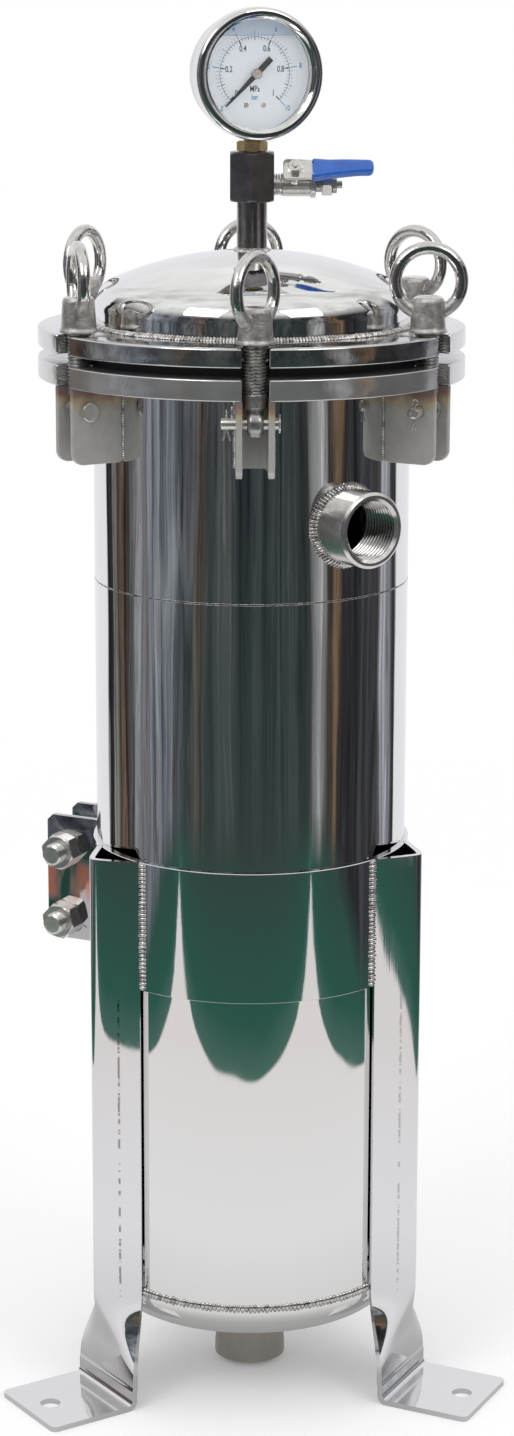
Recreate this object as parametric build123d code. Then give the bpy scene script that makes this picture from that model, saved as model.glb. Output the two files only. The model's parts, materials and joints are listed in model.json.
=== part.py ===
from build123d import *
import os
from math import acos, asin, atan2, cos, degrees, pi, radians, sin, sqrt

# Bag filter housing for one 105 mm collar bag, 380 mm long, in a 6 inch stainless shell.
# Frame: millimetres, +Z up, origin on the vessel's axis at floor level, front towards -Y.
# Azimuths are measured from the front (-Y) towards +X. Parts that stand round the axis are
# modelled at the front and turned into place by their azimuth.

# ---- driving dimensions -------------------------------------------------------------
shell_od = 168.3
shell_wall = 3.0
head_crown_radius = 185.0
head_knuckle_radius = 17.0

# heights up the axis
outlet_mouth_z = 2.0
bottom_seam_z = 63.5
bottom_head_skirt = 3.0
basket_floor_gap = 14.5
inlet_rise = 39.0
body_flange_rise = 108.5
body_flange_thick = 11.0
lid_gap = 5.5
lid_flange_thick = 10.2
lid_skirt = 7.8

# flanges and swing bolts
flange_od = 226.0
flange_chamfer = 1.6
lower_rim_chamfer = 0.5
bolt_count = 6
bolt_circle_radius = 103.5
bolt_azimuth = 1.0
bolt_dia = 12.0
bolt_chamfer = 1.2
bolt_tip_gap = 1.2
slot_clearance = 0.85
pin_drop = 12.0
pin_dia = 6.0
pin_clearance = 0.05
pin_overhang = 7.6
pin_head_dia = 9.8
pin_head_thick = 1.1
pin_head_play = 1.9
split_pin_dia = 1.6
eye_end_dia = 14.0
eye_end_width = 8.4
eye_end_round = 2.6

# hinge lugs
lug_gap = 13.0
lug_plate = 3.3
lug_height = 39.5
lug_nose = 8.9
lug_outer_round = 6.0
lug_inner_round = 3.0

# eye nuts
nut_foot_dia = 19.0
nut_top_dia = 16.6
nut_height = 18.7
nut_seat_gap = 1.1
nut_lip = 1.4
nut_thread_clearance = 0.05
ring_outer_dia = 41.0
ring_wire = 6.8
ring_centre_height = 26.2
ring_turns = [57.0, 0.0, -39.0, 20.0, 63.0, -77.0]

# gaskets, seat, basket and bag
gasket_od = 194.0
gasket_id = 164.0
seat_ring_bore = 101.0
seat_ring_thick = 4.0
basket_od = 98.0
basket_sheet = 1.2
basket_length = 378.0
basket_rim_dia = 120.0
basket_rim_thick = 3.0
basket_hole_dia = 12.0
basket_hole_columns = 10
basket_hole_rows = 5
basket_hole_start = 36.0
basket_hole_end = 14.0
bag_clearance = 0.5
bag_felt = 1.8
bag_floor_gap = 3.0
bag_floor_dish = 12.0
collar_od = 99.0
collar_lip_thick = 4.0
collar_skirt_depth = 14.0
collar_skirt_wall = 2.2
collar_clearance = 0.2
bail_wire = 3.4
bail_radius = 52.6
bail_pivot_height = 3.6
bail_tab_thick = 2.0
bail_tab_width = 9.0
bail_clearance = 0.05
bail_side_gap = 0.6

# ports
port_od = 39.4
port_bore = 30.3
inlet_azimuth = 36.0
inlet_stand = 21.35
port_inner_stand = 2.5
port_chamfer = 1.2

# how far a cutting tool runs past what it cuts
cutter_overrun = 10.0

# legs and their clamp band
leg_azimuths = [-56.5, 63.5, -176.5]
leg_flange = 30.0
leg_sheet = 3.0
leg_bend_radius = 4.2
leg_press_top_z = 62.0
leg_press_mid_z = 42.0
leg_press_low_z = 12.5
leg_mid_open = 0.22
foot_width = 56.5
foot_plate_radius = 95.5
foot_bend_radius = 5.5
foot_hole_radius = 131.0
foot_edge = 14.5
foot_hole_dia = 11.0
foot_corner = 3.5
band_low_z = 237.0
band_height = 71.0
band_thick = 2.0
ear_azimuth = -116.0
ear_spread = 25.0
ear_plate = 3.5
ear_reach = 119.0
ear_chamfer = 3.5
clamp_bolt_dia = 12.0
clamp_bolt_radius = 107.5
clamp_bolt_heights = [12.0, 52.0]
clamp_bolt_stand = 6.3
clamp_hex_af = 18.0
clamp_nut_height = 10.0
clamp_head_height = 7.5
clamp_bolt_clearance = 0.5

# top connection
riser_od = 16.0
riser_wall = 2.6
tee_rise = 64.0
tee_height = 25.8
tee_af = 23.0
tee_socket_depth = 8.0
gauge_stem_af = 14.0
gauge_stem_hex = 5.6
gauge_thread_dia = 12.6
gauge_neck_dia = 9.0
gauge_neck_entry = 1.2

# pressure gauge
gauge_rise = 40.0
gauge_turn = 17.0
case_dia = 62.0
case_back = 13.0
case_front = 11.0
case_round = 3.0
case_recess_dia = 59.0
case_recess_floor = 3.0
dial_thick = 0.8
dial_clearance = 0.15
bezel_dia = 68.0
bezel_back = 5.0
bezel_front = 16.0
bezel_window_dia = 56.0
bezel_crest_round = 2.4
bezel_edge_round = 1.2
bezel_lip = 0.9
glass_thick = 2.0
pointer_height = 7.0
pointer_thick = 0.7
pointer_reach = 23.5
pointer_tail = 11.0
pointer_hub_dia = 5.4
pointer_shaft_dia = 2.0
pointer_clearance = 0.05

# vent ball valve
valve_rise = 8.8
valve_start_x = 15.5
valve_length = 17.8
valve_body_dia = 12.4
valve_collar_dia = 14.0
valve_collar_width = 3.0
valve_bore = 5.0
valve_stem_x = 22.4
valve_tilt = 50.0
valve_ball_dia = 8.8
valve_ball_clearance = 0.08
valve_stem_dia = 3.4
valve_boss_dia = 6.8
valve_boss_height = 9.5
nipple_dia = 11.6
nipple_engagement = 3.2
lever_height = 12.0
lever_plate = 1.6
lever_width = 13.0
lever_back = 6.2
lever_front = 9.0
grip_length = 32.0
grip_width = 13.0
grip_end_width = 9.5
grip_thick = 6.2
grip_round = 2.2
lever_nut_af = 7.0
lever_nut_height = 3.2
outlet_neck_dia = 8.4
outlet_neck_length = 3.3
outlet_hex_af = 11.0
outlet_hex_length = 5.2
outlet_collar_dia = 9.2
outlet_collar_length = 2.6
outlet_tip_dia = 4.0
outlet_tip_length = 2.8
outlet_bore = 2.0

# ---- sizes that follow --------------------------------------------------------------
shell_radius = shell_od / 2
shell_inner = shell_radius - shell_wall
seat_seam_z = bottom_seam_z + basket_floor_gap + basket_length - basket_rim_thick - seat_ring_thick / 2
inlet_z = seat_seam_z + inlet_rise
inlet_mouth_radius = shell_radius + inlet_stand
body_flange_z = seat_seam_z + body_flange_rise
body_flange_top = body_flange_z + body_flange_thick
lid_flange_z = body_flange_top + lid_gap
lid_top_z = lid_flange_z + lid_flange_thick
slot_radius = bolt_dia / 2 + slot_clearance
pin_z = body_flange_z - pin_drop
lug_bottom_z = body_flange_z - lug_height
lug_reach = bolt_circle_radius + lug_nose
band_radius = shell_radius + band_thick
leg_top_z = band_low_z + band_height
foot_reach = foot_hole_radius + foot_edge
lug_half = lug_gap / 2 + lug_plate
seat_top_z = seat_seam_z + seat_ring_thick / 2
basket_top_z = seat_top_z + basket_rim_thick
tee_bottom_z = lid_top_z + tee_rise
tee_top_z = tee_bottom_z + tee_height
valve_z = tee_bottom_z + valve_rise
gauge_centre_z = tee_top_z + gauge_rise
valve_end_x = valve_start_x + valve_length


# ---- helpers ------------------------------------------------------------------------
def tube(outer, inner, low, high):
    """A round sleeve on the axis, between two heights."""
    return Pos(0, 0, low) * extrude(Circle(outer) - Circle(inner), high - low)


def rod(radius, low, high):
    """A round bar on the axis, between two heights."""
    return Pos(0, 0, low) * extrude(Circle(radius), high - low)


def turned(part, azimuth):
    """Turn a part modelled at the front to its place round the vessel."""
    return Rot(0, 0, azimuth) * part


def loop_face(points, arcs=()):
    """A face from corner points; the sides listed in arcs bulge through a given point."""
    edges = []
    through = dict(arcs)
    for i, start in enumerate(points):
        end = points[(i + 1) % len(points)]
        if i in through:
            edges.append(Edge.make_three_point_arc(start, through[i], end))
        else:
            edges.append(Edge.make_line(start, end))
    return Face(Wire(edges))


def bar_along_x(radius, start, end):
    """A round bar whose axis is the X axis."""
    return Pos(start, 0, 0) * Rot(0, 90, 0) * extrude(Circle(radius), end - start)


def hex_along_x(across_flats, start, end):
    """A hexagonal bar whose axis is the X axis."""
    outline = Rot(0, 0, 30) * RegularPolygon(across_flats / sqrt(3), 6)
    return Pos(start, 0, 0) * Rot(0, 90, 0) * extrude(outline, end - start)


def dished_end(skirt):
    """A torispherical end standing on z = 0, with its crown upwards and its wall inwards."""
    lean = acos((shell_radius - head_knuckle_radius) / (head_crown_radius - head_knuckle_radius))
    crown_drop = (head_crown_radius - head_knuckle_radius) * sin(lean)

    def on_knuckle(angle, inset):
        reach = head_knuckle_radius - inset
        x = shell_radius - head_knuckle_radius + reach * cos(angle)
        return Vector(x, 0, skirt + reach * sin(angle))

    def on_crown(angle, inset):
        reach = head_crown_radius - inset
        return Vector(reach * cos(angle), 0, skirt - crown_drop + reach * sin(angle))

    mid_crown = (lean + pi / 2) / 2
    wall = shell_wall
    points = [
        Vector(shell_radius, 0, 0), on_knuckle(0, 0), on_knuckle(lean, 0), on_crown(pi / 2, 0),
        on_crown(pi / 2, wall), on_knuckle(lean, wall), on_knuckle(0, wall), Vector(shell_inner, 0, 0),
    ]
    arcs = {
        1: on_knuckle(lean / 2, 0), 2: on_crown(mid_crown, 0),
        4: on_crown(mid_crown, wall), 5: on_knuckle(lean / 2, wall),
    }
    return revolve(loop_face(points, arcs), Axis.Z, 360)


def dished_height(skirt):
    """Height of the dished end's crown above its rim."""
    reach = head_crown_radius - head_knuckle_radius
    run = shell_radius - head_knuckle_radius
    return skirt + head_crown_radius - sqrt(reach**2 - run**2)


# ---- vessel -------------------------------------------------------------------------
def inlet_placed(part):
    """Lay a part built along +Z so that it points outwards at the inlet."""
    return turned(Pos(0, 0, inlet_z) * Rot(90, 0, 0) * part, inlet_azimuth)


def port_coupling(length):
    """A threaded coupling on z = 0 upwards, its outer end chamfered, bored right through."""
    body = rod(port_od / 2, 0, length) - rod(port_bore / 2, -1, length + 1)
    mouth = body.edges().filter_by(GeomType.CIRCLE).group_by(Axis.Z)[-1]
    return chamfer(mouth, port_chamfer)


def upper_shell():
    shell = tube(shell_radius, shell_inner, seat_seam_z, body_flange_top)
    return shell - inlet_placed(rod(port_od / 2, 0, inlet_mouth_radius))


def lower_shell():
    return tube(shell_radius, shell_inner, bottom_seam_z, seat_seam_z)


def inlet_coupling():
    start = shell_inner - port_inner_stand
    return inlet_placed(Pos(0, 0, start) * port_coupling(inlet_mouth_radius - start))


def bottom_head():
    head = Pos(0, 0, bottom_seam_z) * Rot(180, 0, 0) * dished_end(bottom_head_skirt)
    return head - rod(port_od / 2, 0, bottom_seam_z)


def outlet_coupling():
    crown_z = bottom_seam_z - dished_height(bottom_head_skirt)
    length = crown_z + shell_wall + port_inner_stand - outlet_mouth_z
    return Pos(0, 0, outlet_mouth_z + length) * Rot(180, 0, 0) * port_coupling(length)


def slotted_flange(bore, low, thick):
    """A flange ring with one open slot for each swing bolt and lightly broken rims."""
    ring = tube(flange_od / 2, bore, low, low + thick)
    rims = ring.edges().filter_by(GeomType.CIRCLE).group_by(SortBy.RADIUS)[-1]
    ring = chamfer(rims.sort_by(Axis.Z)[-1], flange_chamfer)
    lower_rim = ring.edges().filter_by(GeomType.CIRCLE).group_by(Axis.Z)[0].sort_by(SortBy.RADIUS)[-1]
    ring = chamfer(lower_rim, lower_rim_chamfer)
    reach = flange_od / 2
    round_end = Pos(0, -bolt_circle_radius, low - 1) * extrude(Circle(slot_radius), thick + 2)
    channel = Pos(0, -(bolt_circle_radius + reach) / 2, low + thick / 2) * Box(
        2 * slot_radius, reach - bolt_circle_radius + 2, thick + 2)
    channel = Pos(0, -1, 0) * channel
    for k in range(bolt_count):
        ring -= turned(round_end + channel, bolt_azimuth + k * 360 / bolt_count)
    return ring


def body_flange():
    return slotted_flange(shell_radius, body_flange_z, body_flange_thick)


def hinge_lug(azimuth):
    """A bent channel: two cheeks that carry the pin and a web against the shell."""
    back = shell_radius - 2
    cheek = loop_face([
        Vector(0, -back, lug_bottom_z), Vector(0, -lug_reach, lug_bottom_z),
        Vector(0, -lug_reach, body_flange_z), Vector(0, -back, body_flange_z),
    ])
    block = Pos(-lug_half, 0, 0) * extrude(cheek, 2 * lug_half, dir=(1, 0, 0))
    outer = block.edges().filter_by(Axis.X).group_by(Axis.Z)[0].sort_by(Axis.Y)[0]
    block = fillet(outer, lug_outer_round)
    web_front = shell_radius + lug_plate
    pocket = Pos(0, -(web_front + lug_reach + cutter_overrun) / 2, (lug_bottom_z + body_flange_z) / 2) * Box(
        lug_gap, lug_reach - web_front + cutter_overrun, body_flange_z - lug_bottom_z + 2)
    block -= pocket
    block -= rod(shell_radius, lug_bottom_z - 1, body_flange_z + 1)
    pin_hole = bar_along_x(pin_dia / 2 + pin_clearance, -lug_half - 1, lug_half + 1)
    return turned(block - Pos(0, -bolt_circle_radius, pin_z) * pin_hole, azimuth)


def hinge_pin(azimuth):
    """A headed pin through both cheeks, cross-drilled for its split pin."""
    left = -lug_half - pin_overhang
    right = lug_half + pin_head_play
    pin = bar_along_x(pin_dia / 2, left, right)
    pin = chamfer(pin.edges().filter_by(GeomType.CIRCLE).sort_by(Axis.X)[0], 0.6)
    pin += bar_along_x(pin_head_dia / 2, right, right + pin_head_thick)
    drill = Pos(split_pin_x(), 0, 0) * Cylinder(split_pin_dia / 2 + pin_clearance, pin_dia + 2)
    return turned(Pos(0, -bolt_circle_radius, pin_z) * (pin - drill), azimuth)


def split_pin_x():
    return -lug_half - pin_overhang * 0.6


def split_pin(azimuth):
    """A split pin dropped through the hinge pin, its two legs spread below."""
    head_z = pin_dia / 2 + split_pin_dia
    shank = Pos(0, 0, -pin_dia / 2) * extrude(Circle(split_pin_dia / 2), pin_dia + split_pin_dia)
    eye = Pos(0, 0, head_z + split_pin_dia * 0.5) * Rot(90, 0, 0) * Torus(
        split_pin_dia * 0.9, split_pin_dia * 0.4)
    legs = None
    for side in (-1, 1):
        leg = Pos(0, 0, -pin_dia / 2) * Rot(0, side * 14, 0) * Pos(side * 0.25, 0, -6.0) * extrude(
            Circle(split_pin_dia * 0.32), 6.2)
        legs = leg if legs is None else legs + leg
    whole = shank + eye + legs
    return turned(Pos(split_pin_x(), -bolt_circle_radius, pin_z) * whole, azimuth)


def seat_ring():
    """The ring welded inside the shell's seam, on which the basket's rim hangs."""
    return tube(shell_inner, seat_ring_bore / 2, seat_top_z - seat_ring_thick, seat_top_z)


def lid_gasket():
    return tube(gasket_od / 2, gasket_id / 2, body_flange_top, lid_flange_z)


# ---- basket and bag -----------------------------------------------------------------
def basket():
    """A perforated cylinder with a floor, a rim that hangs on the seat and two bail tabs."""
    radius = basket_od / 2
    low = basket_top_z - basket_length
    can = rod(radius, low, basket_top_z) - rod(radius - basket_sheet, low + basket_sheet, basket_top_z + 1)
    rim = tube(basket_rim_dia / 2, radius - basket_sheet, seat_top_z, basket_top_z)
    can += rim
    pitch = (basket_length - basket_hole_start - basket_hole_end) / basket_hole_rows
    drill = Rot(90, 0, 0) * Cylinder(basket_hole_dia / 2, basket_od + cutter_overrun)
    for row in range(basket_hole_rows):
        height = low + basket_hole_start + pitch * row
        for column in range(basket_hole_columns // 2):
            turn = 360 / basket_hole_columns * (column + row % 2 / 2)
            can -= Rot(0, 0, turn) * Pos(0, 0, height) * drill
    tab_x = bail_radius + bail_wire / 2 + bail_side_gap
    tab_height = bail_pivot_height + bail_wire * 1.4
    for side in (-1, 1):
        tab = Pos(side * (tab_x + bail_tab_thick / 2), 0, basket_top_z + tab_height / 2) * Box(
            bail_tab_thick, bail_tab_width, tab_height)
        top = tab.edges().filter_by(Axis.X).group_by(Axis.Z)[-1]
        can += fillet(top, 3.0)
    pivot = bar_along_x(bail_wire / 2 + bail_clearance, -basket_rim_dia, basket_rim_dia)
    return can - Pos(0, 0, basket_top_z + bail_pivot_height) * pivot


def basket_handle():
    """The wire bail, folded flat round the bag collar, its ends turned out into the tabs."""
    end = bail_radius + bail_wire / 2 + bail_side_gap + bail_tab_thick + 1.0
    section = Plane.XZ * Pos(bail_radius, 0) * Circle(bail_wire / 2)
    bail = revolve(section, Axis.Z, -180)
    foot = bar_along_x(bail_wire / 2, bail_radius, end)
    bail += Sphere(bail_wire / 2).moved(Location((bail_radius, 0, 0))) + foot
    bail += Sphere(bail_wire / 2).moved(Location((-bail_radius, 0, 0))) + Rot(0, 0, 180) * foot
    return Pos(0, 0, basket_top_z + bail_pivot_height) * bail


def bag_outer_radius():
    return basket_od / 2 - basket_sheet - bag_clearance


def filter_bag():
    """The felt bag hanging inside the basket: an open tube with a dished floor."""
    outer = bag_outer_radius()
    low = basket_top_z - basket_length + basket_sheet + bag_floor_gap
    top = basket_top_z
    shoulder = low + bag_floor_dish
    mid = cos(radians(45))
    points = [
        Vector(0, 0, low), Vector(outer - bag_floor_dish, 0, low), Vector(outer, 0, shoulder),
        Vector(outer, 0, top), Vector(outer - bag_felt, 0, top), Vector(outer - bag_felt, 0, shoulder),
        Vector(outer - bag_floor_dish, 0, low + bag_felt), Vector(0, 0, low + bag_felt),
    ]
    bend = bag_floor_dish
    arcs = {
        1: Vector(outer - bend + bend * mid, 0, shoulder - bend * mid),
        5: Vector(outer - bend + (bend - bag_felt) * mid, 0, shoulder - (bend - bag_felt) * mid),
    }
    return revolve(loop_face(points, arcs), Axis.Z, 360)


def bag_collar():
    """The moulded collar: a lip on the basket's rim and a skirt inside the bag's mouth."""
    lip = collar_od / 2
    skirt = bag_outer_radius() - bag_felt - collar_clearance
    low = basket_top_z - collar_skirt_depth
    points = [
        Vector(skirt - collar_skirt_wall, 0, low), Vector(skirt, 0, low), Vector(skirt, 0, basket_top_z),
        Vector(lip, 0, basket_top_z), Vector(lip, 0, basket_top_z + collar_lip_thick * 0.6),
        Vector(lip - 2.2, 0, basket_top_z + collar_lip_thick),
        Vector(skirt - collar_skirt_wall + 1.5, 0, basket_top_z + collar_lip_thick),
        Vector(skirt - collar_skirt_wall, 0, basket_top_z + collar_lip_thick - 1.5),
    ]
    return revolve(loop_face(points), Axis.Z, 360)


# ---- legs and clamp band ------------------------------------------------------------
def leg_section(height, corner_radius, half_width, edge_radius, ridge_half):
    """A folded sheet's section: two flanges that meet in a rounded ridge, facing outwards."""
    slope = atan2(corner_radius - edge_radius, half_width - ridge_half)
    back = leg_sheet * cos(slope)
    in_x = leg_sheet * sin(slope)
    ridge_in = max(ridge_half - leg_sheet * sin(slope / 2), ridge_half * 0.35)
    bulge = ridge_half * sin(slope) * 0.45
    outer = [(-half_width, edge_radius), (-ridge_half, corner_radius), (ridge_half, corner_radius),
             (half_width, edge_radius)]
    inner = [(half_width - in_x, edge_radius - back), (ridge_in, corner_radius - leg_sheet),
             (-ridge_in, corner_radius - leg_sheet), (-half_width + in_x, edge_radius - back)]
    points = [Vector(x, -r, height) for x, r in outer + inner]
    arcs = {
        1: Vector(0, -(corner_radius + bulge + 0.01), height),
        5: Vector(0, -(corner_radius - leg_sheet + bulge * 0.4 + 0.01), height),
    }
    return loop_face(points, arcs)


def leg(azimuth):
    """An angle-section leg, pressed flat at its lower end and bent outwards into a foot."""
    half = leg_flange / sqrt(2)
    edge = sqrt(band_radius**2 - half**2)
    ridge = leg_bend_radius * 0.72
    ridge_radius = edge + half - ridge
    angle = leg_section(leg_press_top_z, ridge_radius, half, edge, ridge)
    post = extrude(angle, leg_top_z - leg_press_top_z, dir=(0, 0, 1))
    foot_half = foot_width / 2
    mid_half = half + (foot_half - half) * leg_mid_open
    mid_edge = edge + (foot_plate_radius - edge) * leg_mid_open
    middle = leg_section(leg_press_mid_z, ridge_radius - 0.4, mid_half, mid_edge, ridge * 1.15)
    flat = leg_section(leg_press_low_z, foot_plate_radius, foot_half, foot_plate_radius - 0.3,
                       foot_half * 0.97)
    post += loft([middle, angle], ruled=True)
    post += loft([flat, middle], ruled=True)
    back = foot_plate_radius - leg_sheet
    bend_in = foot_bend_radius - leg_sheet
    mid = cos(radians(45))
    turn_r = foot_plate_radius + bend_in
    points = [
        Vector(0, -foot_plate_radius, leg_press_low_z), Vector(0, -foot_plate_radius, foot_bend_radius),
        Vector(0, -turn_r, leg_sheet), Vector(0, -foot_reach, leg_sheet),
        Vector(0, -foot_reach, 0), Vector(0, -turn_r, 0),
        Vector(0, -back, foot_bend_radius), Vector(0, -back, leg_press_low_z),
    ]
    arcs = {
        1: Vector(0, -(turn_r - bend_in * mid), foot_bend_radius - bend_in * mid),
        5: Vector(0, -(turn_r - foot_bend_radius * mid), foot_bend_radius * (1 - mid)),
    }
    foot = Pos(-foot_half, 0, 0) * extrude(loop_face(points, arcs), foot_width, dir=(1, 0, 0))
    corners = foot.edges().filter_by(Axis.Z).sort_by(Axis.Y)[0:2]
    foot = fillet(corners, foot_corner)
    foot -= Pos(0, -foot_hole_radius, 0) * Cylinder(foot_hole_dia / 2, 4 * leg_sheet)
    scribed = post + foot - rod(band_radius, leg_press_mid_z, leg_top_z + 1)
    return turned(scribed, azimuth)


def clamp_band():
    """The band that carries the legs, split at two ears that its bolts draw together."""
    high = band_low_z + band_height
    band = tube(band_radius, shell_radius, band_low_z, high)
    offset = ear_spread / 2
    for side in (-1, 1):
        ear = loop_face([
            Vector(0, -(shell_radius - 5), band_low_z), Vector(0, -(ear_reach - ear_chamfer), band_low_z),
            Vector(0, -ear_reach, band_low_z + ear_chamfer), Vector(0, -ear_reach, high - ear_chamfer),
            Vector(0, -(ear_reach - ear_chamfer), high), Vector(0, -(shell_radius - 5), high),
        ])
        start = offset if side > 0 else -offset - ear_plate
        band += turned(Pos(start, 0, 0) * extrude(ear, ear_plate, dir=(1, 0, 0)), ear_azimuth)
    opening = Box(ear_spread, 4 * band_thick, band_height + 2)
    opening = Pos(0, -shell_radius, band_low_z + band_height / 2) * opening
    band -= turned(opening, ear_azimuth)
    band -= rod(shell_radius, band_low_z - 1, high + 1)
    for height in clamp_bolt_heights:
        hole = bar_along_x(clamp_bolt_dia / 2 + clamp_bolt_clearance, -ear_reach, ear_reach)
        place = Pos(0, -clamp_bolt_radius, band_low_z + height)
        band -= turned(place * hole, ear_azimuth)
    return band


def clamp_bolts():
    """Two bolts across the ears, heads behind and threads standing out at the front ear."""
    face = ear_spread / 2 + ear_plate
    bolts = []
    for height in clamp_bolt_heights:
        shank = bar_along_x(clamp_bolt_dia / 2, -face, face + clamp_nut_height + clamp_bolt_stand)
        shank = chamfer(shank.edges().filter_by(GeomType.CIRCLE).sort_by(Axis.X)[-1], 0.9)
        head = hex_along_x(clamp_hex_af, -face - clamp_head_height, -face)
        place = Pos(0, -clamp_bolt_radius, band_low_z + height)
        bolts.append(turned(place * (shank + head), ear_azimuth))
    return Compound(children=bolts)


def clamp_nuts():
    """The two nuts on the front ear."""
    face = ear_spread / 2 + ear_plate
    nuts = []
    for height in clamp_bolt_heights:
        nut = hex_along_x(clamp_hex_af, face, face + clamp_nut_height)
        nut -= bar_along_x(clamp_bolt_dia / 2, face - 1, face + clamp_nut_height + 1)
        round_off = Pos(face + clamp_nut_height / 2, 0, 0) * Rot(0, 90, 0) * Cone(
            clamp_hex_af * 0.62, clamp_hex_af * 0.5, clamp_nut_height)
        place = Pos(0, -clamp_bolt_radius, band_low_z + height)
        nuts.append(turned(place * (nut & round_off), ear_azimuth))
    return Compound(children=nuts)


# ---- lid ----------------------------------------------------------------------------
def lid_flange():
    return slotted_flange(shell_inner, lid_flange_z, lid_flange_thick)


def lid_dome():
    dome = Pos(0, 0, lid_top_z) * dished_end(lid_skirt)
    return dome - rod(riser_od / 2, lid_top_z, tee_bottom_z)


def riser_low_z():
    return lid_top_z + dished_height(lid_skirt) - shell_wall - 1.0


def riser_pipe():
    return tube(riser_od / 2, riser_od / 2 - riser_wall, riser_low_z(), tee_bottom_z + tee_socket_depth)


def gauge_tee():
    """A hexagonal block with sockets for the riser and the gauge and a side port for the vent."""
    outline = Rot(0, 0, 30) * RegularPolygon(tee_af / sqrt(3), 6)
    block = Pos(0, 0, tee_bottom_z) * extrude(outline, tee_height)
    reach = tee_af / sqrt(3) + 0.05
    corner = 1.9
    rounder = revolve(loop_face([
        Vector(0, 0, tee_bottom_z), Vector(reach - corner, 0, tee_bottom_z),
        Vector(reach, 0, tee_bottom_z + corner * 0.6), Vector(reach, 0, tee_top_z - corner * 0.6),
        Vector(reach - corner, 0, tee_top_z), Vector(0, 0, tee_top_z),
    ]), Axis.Z, 360)
    block = block & rounder
    block -= rod(riser_od / 2, tee_bottom_z - 1, tee_bottom_z + tee_socket_depth)
    block -= rod(gauge_thread_dia / 2, tee_top_z - tee_socket_depth, tee_top_z + 1)
    block -= rod(valve_bore / 2, tee_bottom_z, tee_top_z)
    block -= Pos(0, 0, valve_z) * bar_along_x(valve_bore / 2, 0, tee_af)
    return block - Pos(0, 0, valve_z) * bar_along_x(nipple_dia / 2, nipple_start_x(), tee_af)


def gauge_stem():
    """The gauge's brass shank: thread in the tee, hexagon, and neck into the case."""
    case_low = gauge_centre_z - case_dia / 2
    shank = rod(gauge_thread_dia / 2, tee_top_z - tee_socket_depth + 0.5, tee_top_z)
    outline = RegularPolygon(gauge_stem_af / sqrt(3), 6)
    shank += Pos(0, 0, tee_top_z) * extrude(outline, gauge_stem_hex)
    shank += rod(gauge_neck_dia / 2, tee_top_z + gauge_stem_hex, case_low + gauge_neck_entry)
    return shank - rod(1.5, tee_top_z - tee_socket_depth, tee_top_z + gauge_stem_hex)


def gauge_placed(part):
    """Place a gauge piece built about +Z, its face upwards, on the turned gauge's axis."""
    return turned(Pos(0, 0, gauge_centre_z) * Rot(90, 0, 0) * part, gauge_turn)


def gauge_case():
    case = rod(case_dia / 2, -case_back, case_front)
    rear = case.edges().filter_by(GeomType.CIRCLE).sort_by(Axis.Z)[0]
    case = fillet(rear, case_round)
    case -= rod(case_recess_dia / 2, case_recess_floor, case_front + 1)
    low = gauge_centre_z - case_dia / 2
    return gauge_placed(case) - rod(gauge_neck_dia / 2, low - 5, low + gauge_neck_entry)


def gauge_dial():
    dial = rod(case_recess_dia / 2 - dial_clearance, case_recess_floor, case_recess_floor + dial_thick)
    hole = pointer_shaft_dia / 2 + pointer_clearance
    return gauge_placed(dial - rod(hole, 0, case_front))


def gauge_glass():
    return gauge_placed(rod(case_dia / 2, case_front, case_front + glass_thick))


def gauge_bezel():
    """A rolled ring that holds the glass, its inner flank sloping down to the window."""
    outer = bezel_dia / 2
    bore = case_dia / 2
    window = bezel_window_dia / 2
    glass_front = case_front + glass_thick
    crest = outer - bezel_crest_round
    bulge = bezel_crest_round * 7 / 24
    points = [
        Vector(bore, 0, bezel_back), Vector(outer - bezel_edge_round, 0, bezel_back),
        Vector(outer, 0, bezel_back + bezel_edge_round),
        Vector(outer, 0, bezel_front - bezel_crest_round), Vector(crest, 0, bezel_front),
        Vector(window, 0, glass_front + bezel_lip), Vector(window, 0, glass_front),
        Vector(bore, 0, glass_front),
    ]
    arcs = {3: Vector(outer - bulge, 0, bezel_front - bulge)}
    return gauge_placed(revolve(loop_face(points, arcs), Axis.Z, 360))


def gauge_pointer():
    """Needle, counterweight tail and hub on the movement's shaft, at the zero mark."""
    high = pointer_height + pointer_thick
    needle = loop_face([
        Vector(0.35, pointer_reach, pointer_height), Vector(-0.35, pointer_reach, pointer_height),
        Vector(-1.5, 0, pointer_height), Vector(1.5, 0, pointer_height),
    ])
    blade = extrude(needle, pointer_thick, dir=(0, 0, 1))
    blade += Pos(0, -pointer_tail / 2, pointer_height + pointer_thick / 2) * Box(
        3.2, pointer_tail, pointer_thick)
    blade += rod(pointer_hub_dia / 2, pointer_height - 0.8, high + 0.9)
    blade += rod(pointer_shaft_dia / 2, case_recess_floor + 0.1, pointer_height)
    return gauge_placed(Rot(0, 0, 135) * blade)


# ---- vent valve ---------------------------------------------------------------------
def nipple_start_x():
    return tee_af / 2 - nipple_engagement


def vent_placed(part):
    """Lay a part built along +X on the vent valve's run."""
    return Pos(0, 0, valve_z) * part


def stem_placed(part):
    """Stand a part built about +Z on the valve's tipped stem axis."""
    return Pos(valve_stem_x, 0, valve_z) * Rot(valve_tilt, 0, 0) * part


def vent_nipple():
    nipple = bar_along_x(nipple_dia / 2, nipple_start_x(), valve_start_x)
    return vent_placed(nipple - bar_along_x(valve_bore / 2, 0, valve_start_x + 1))


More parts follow.
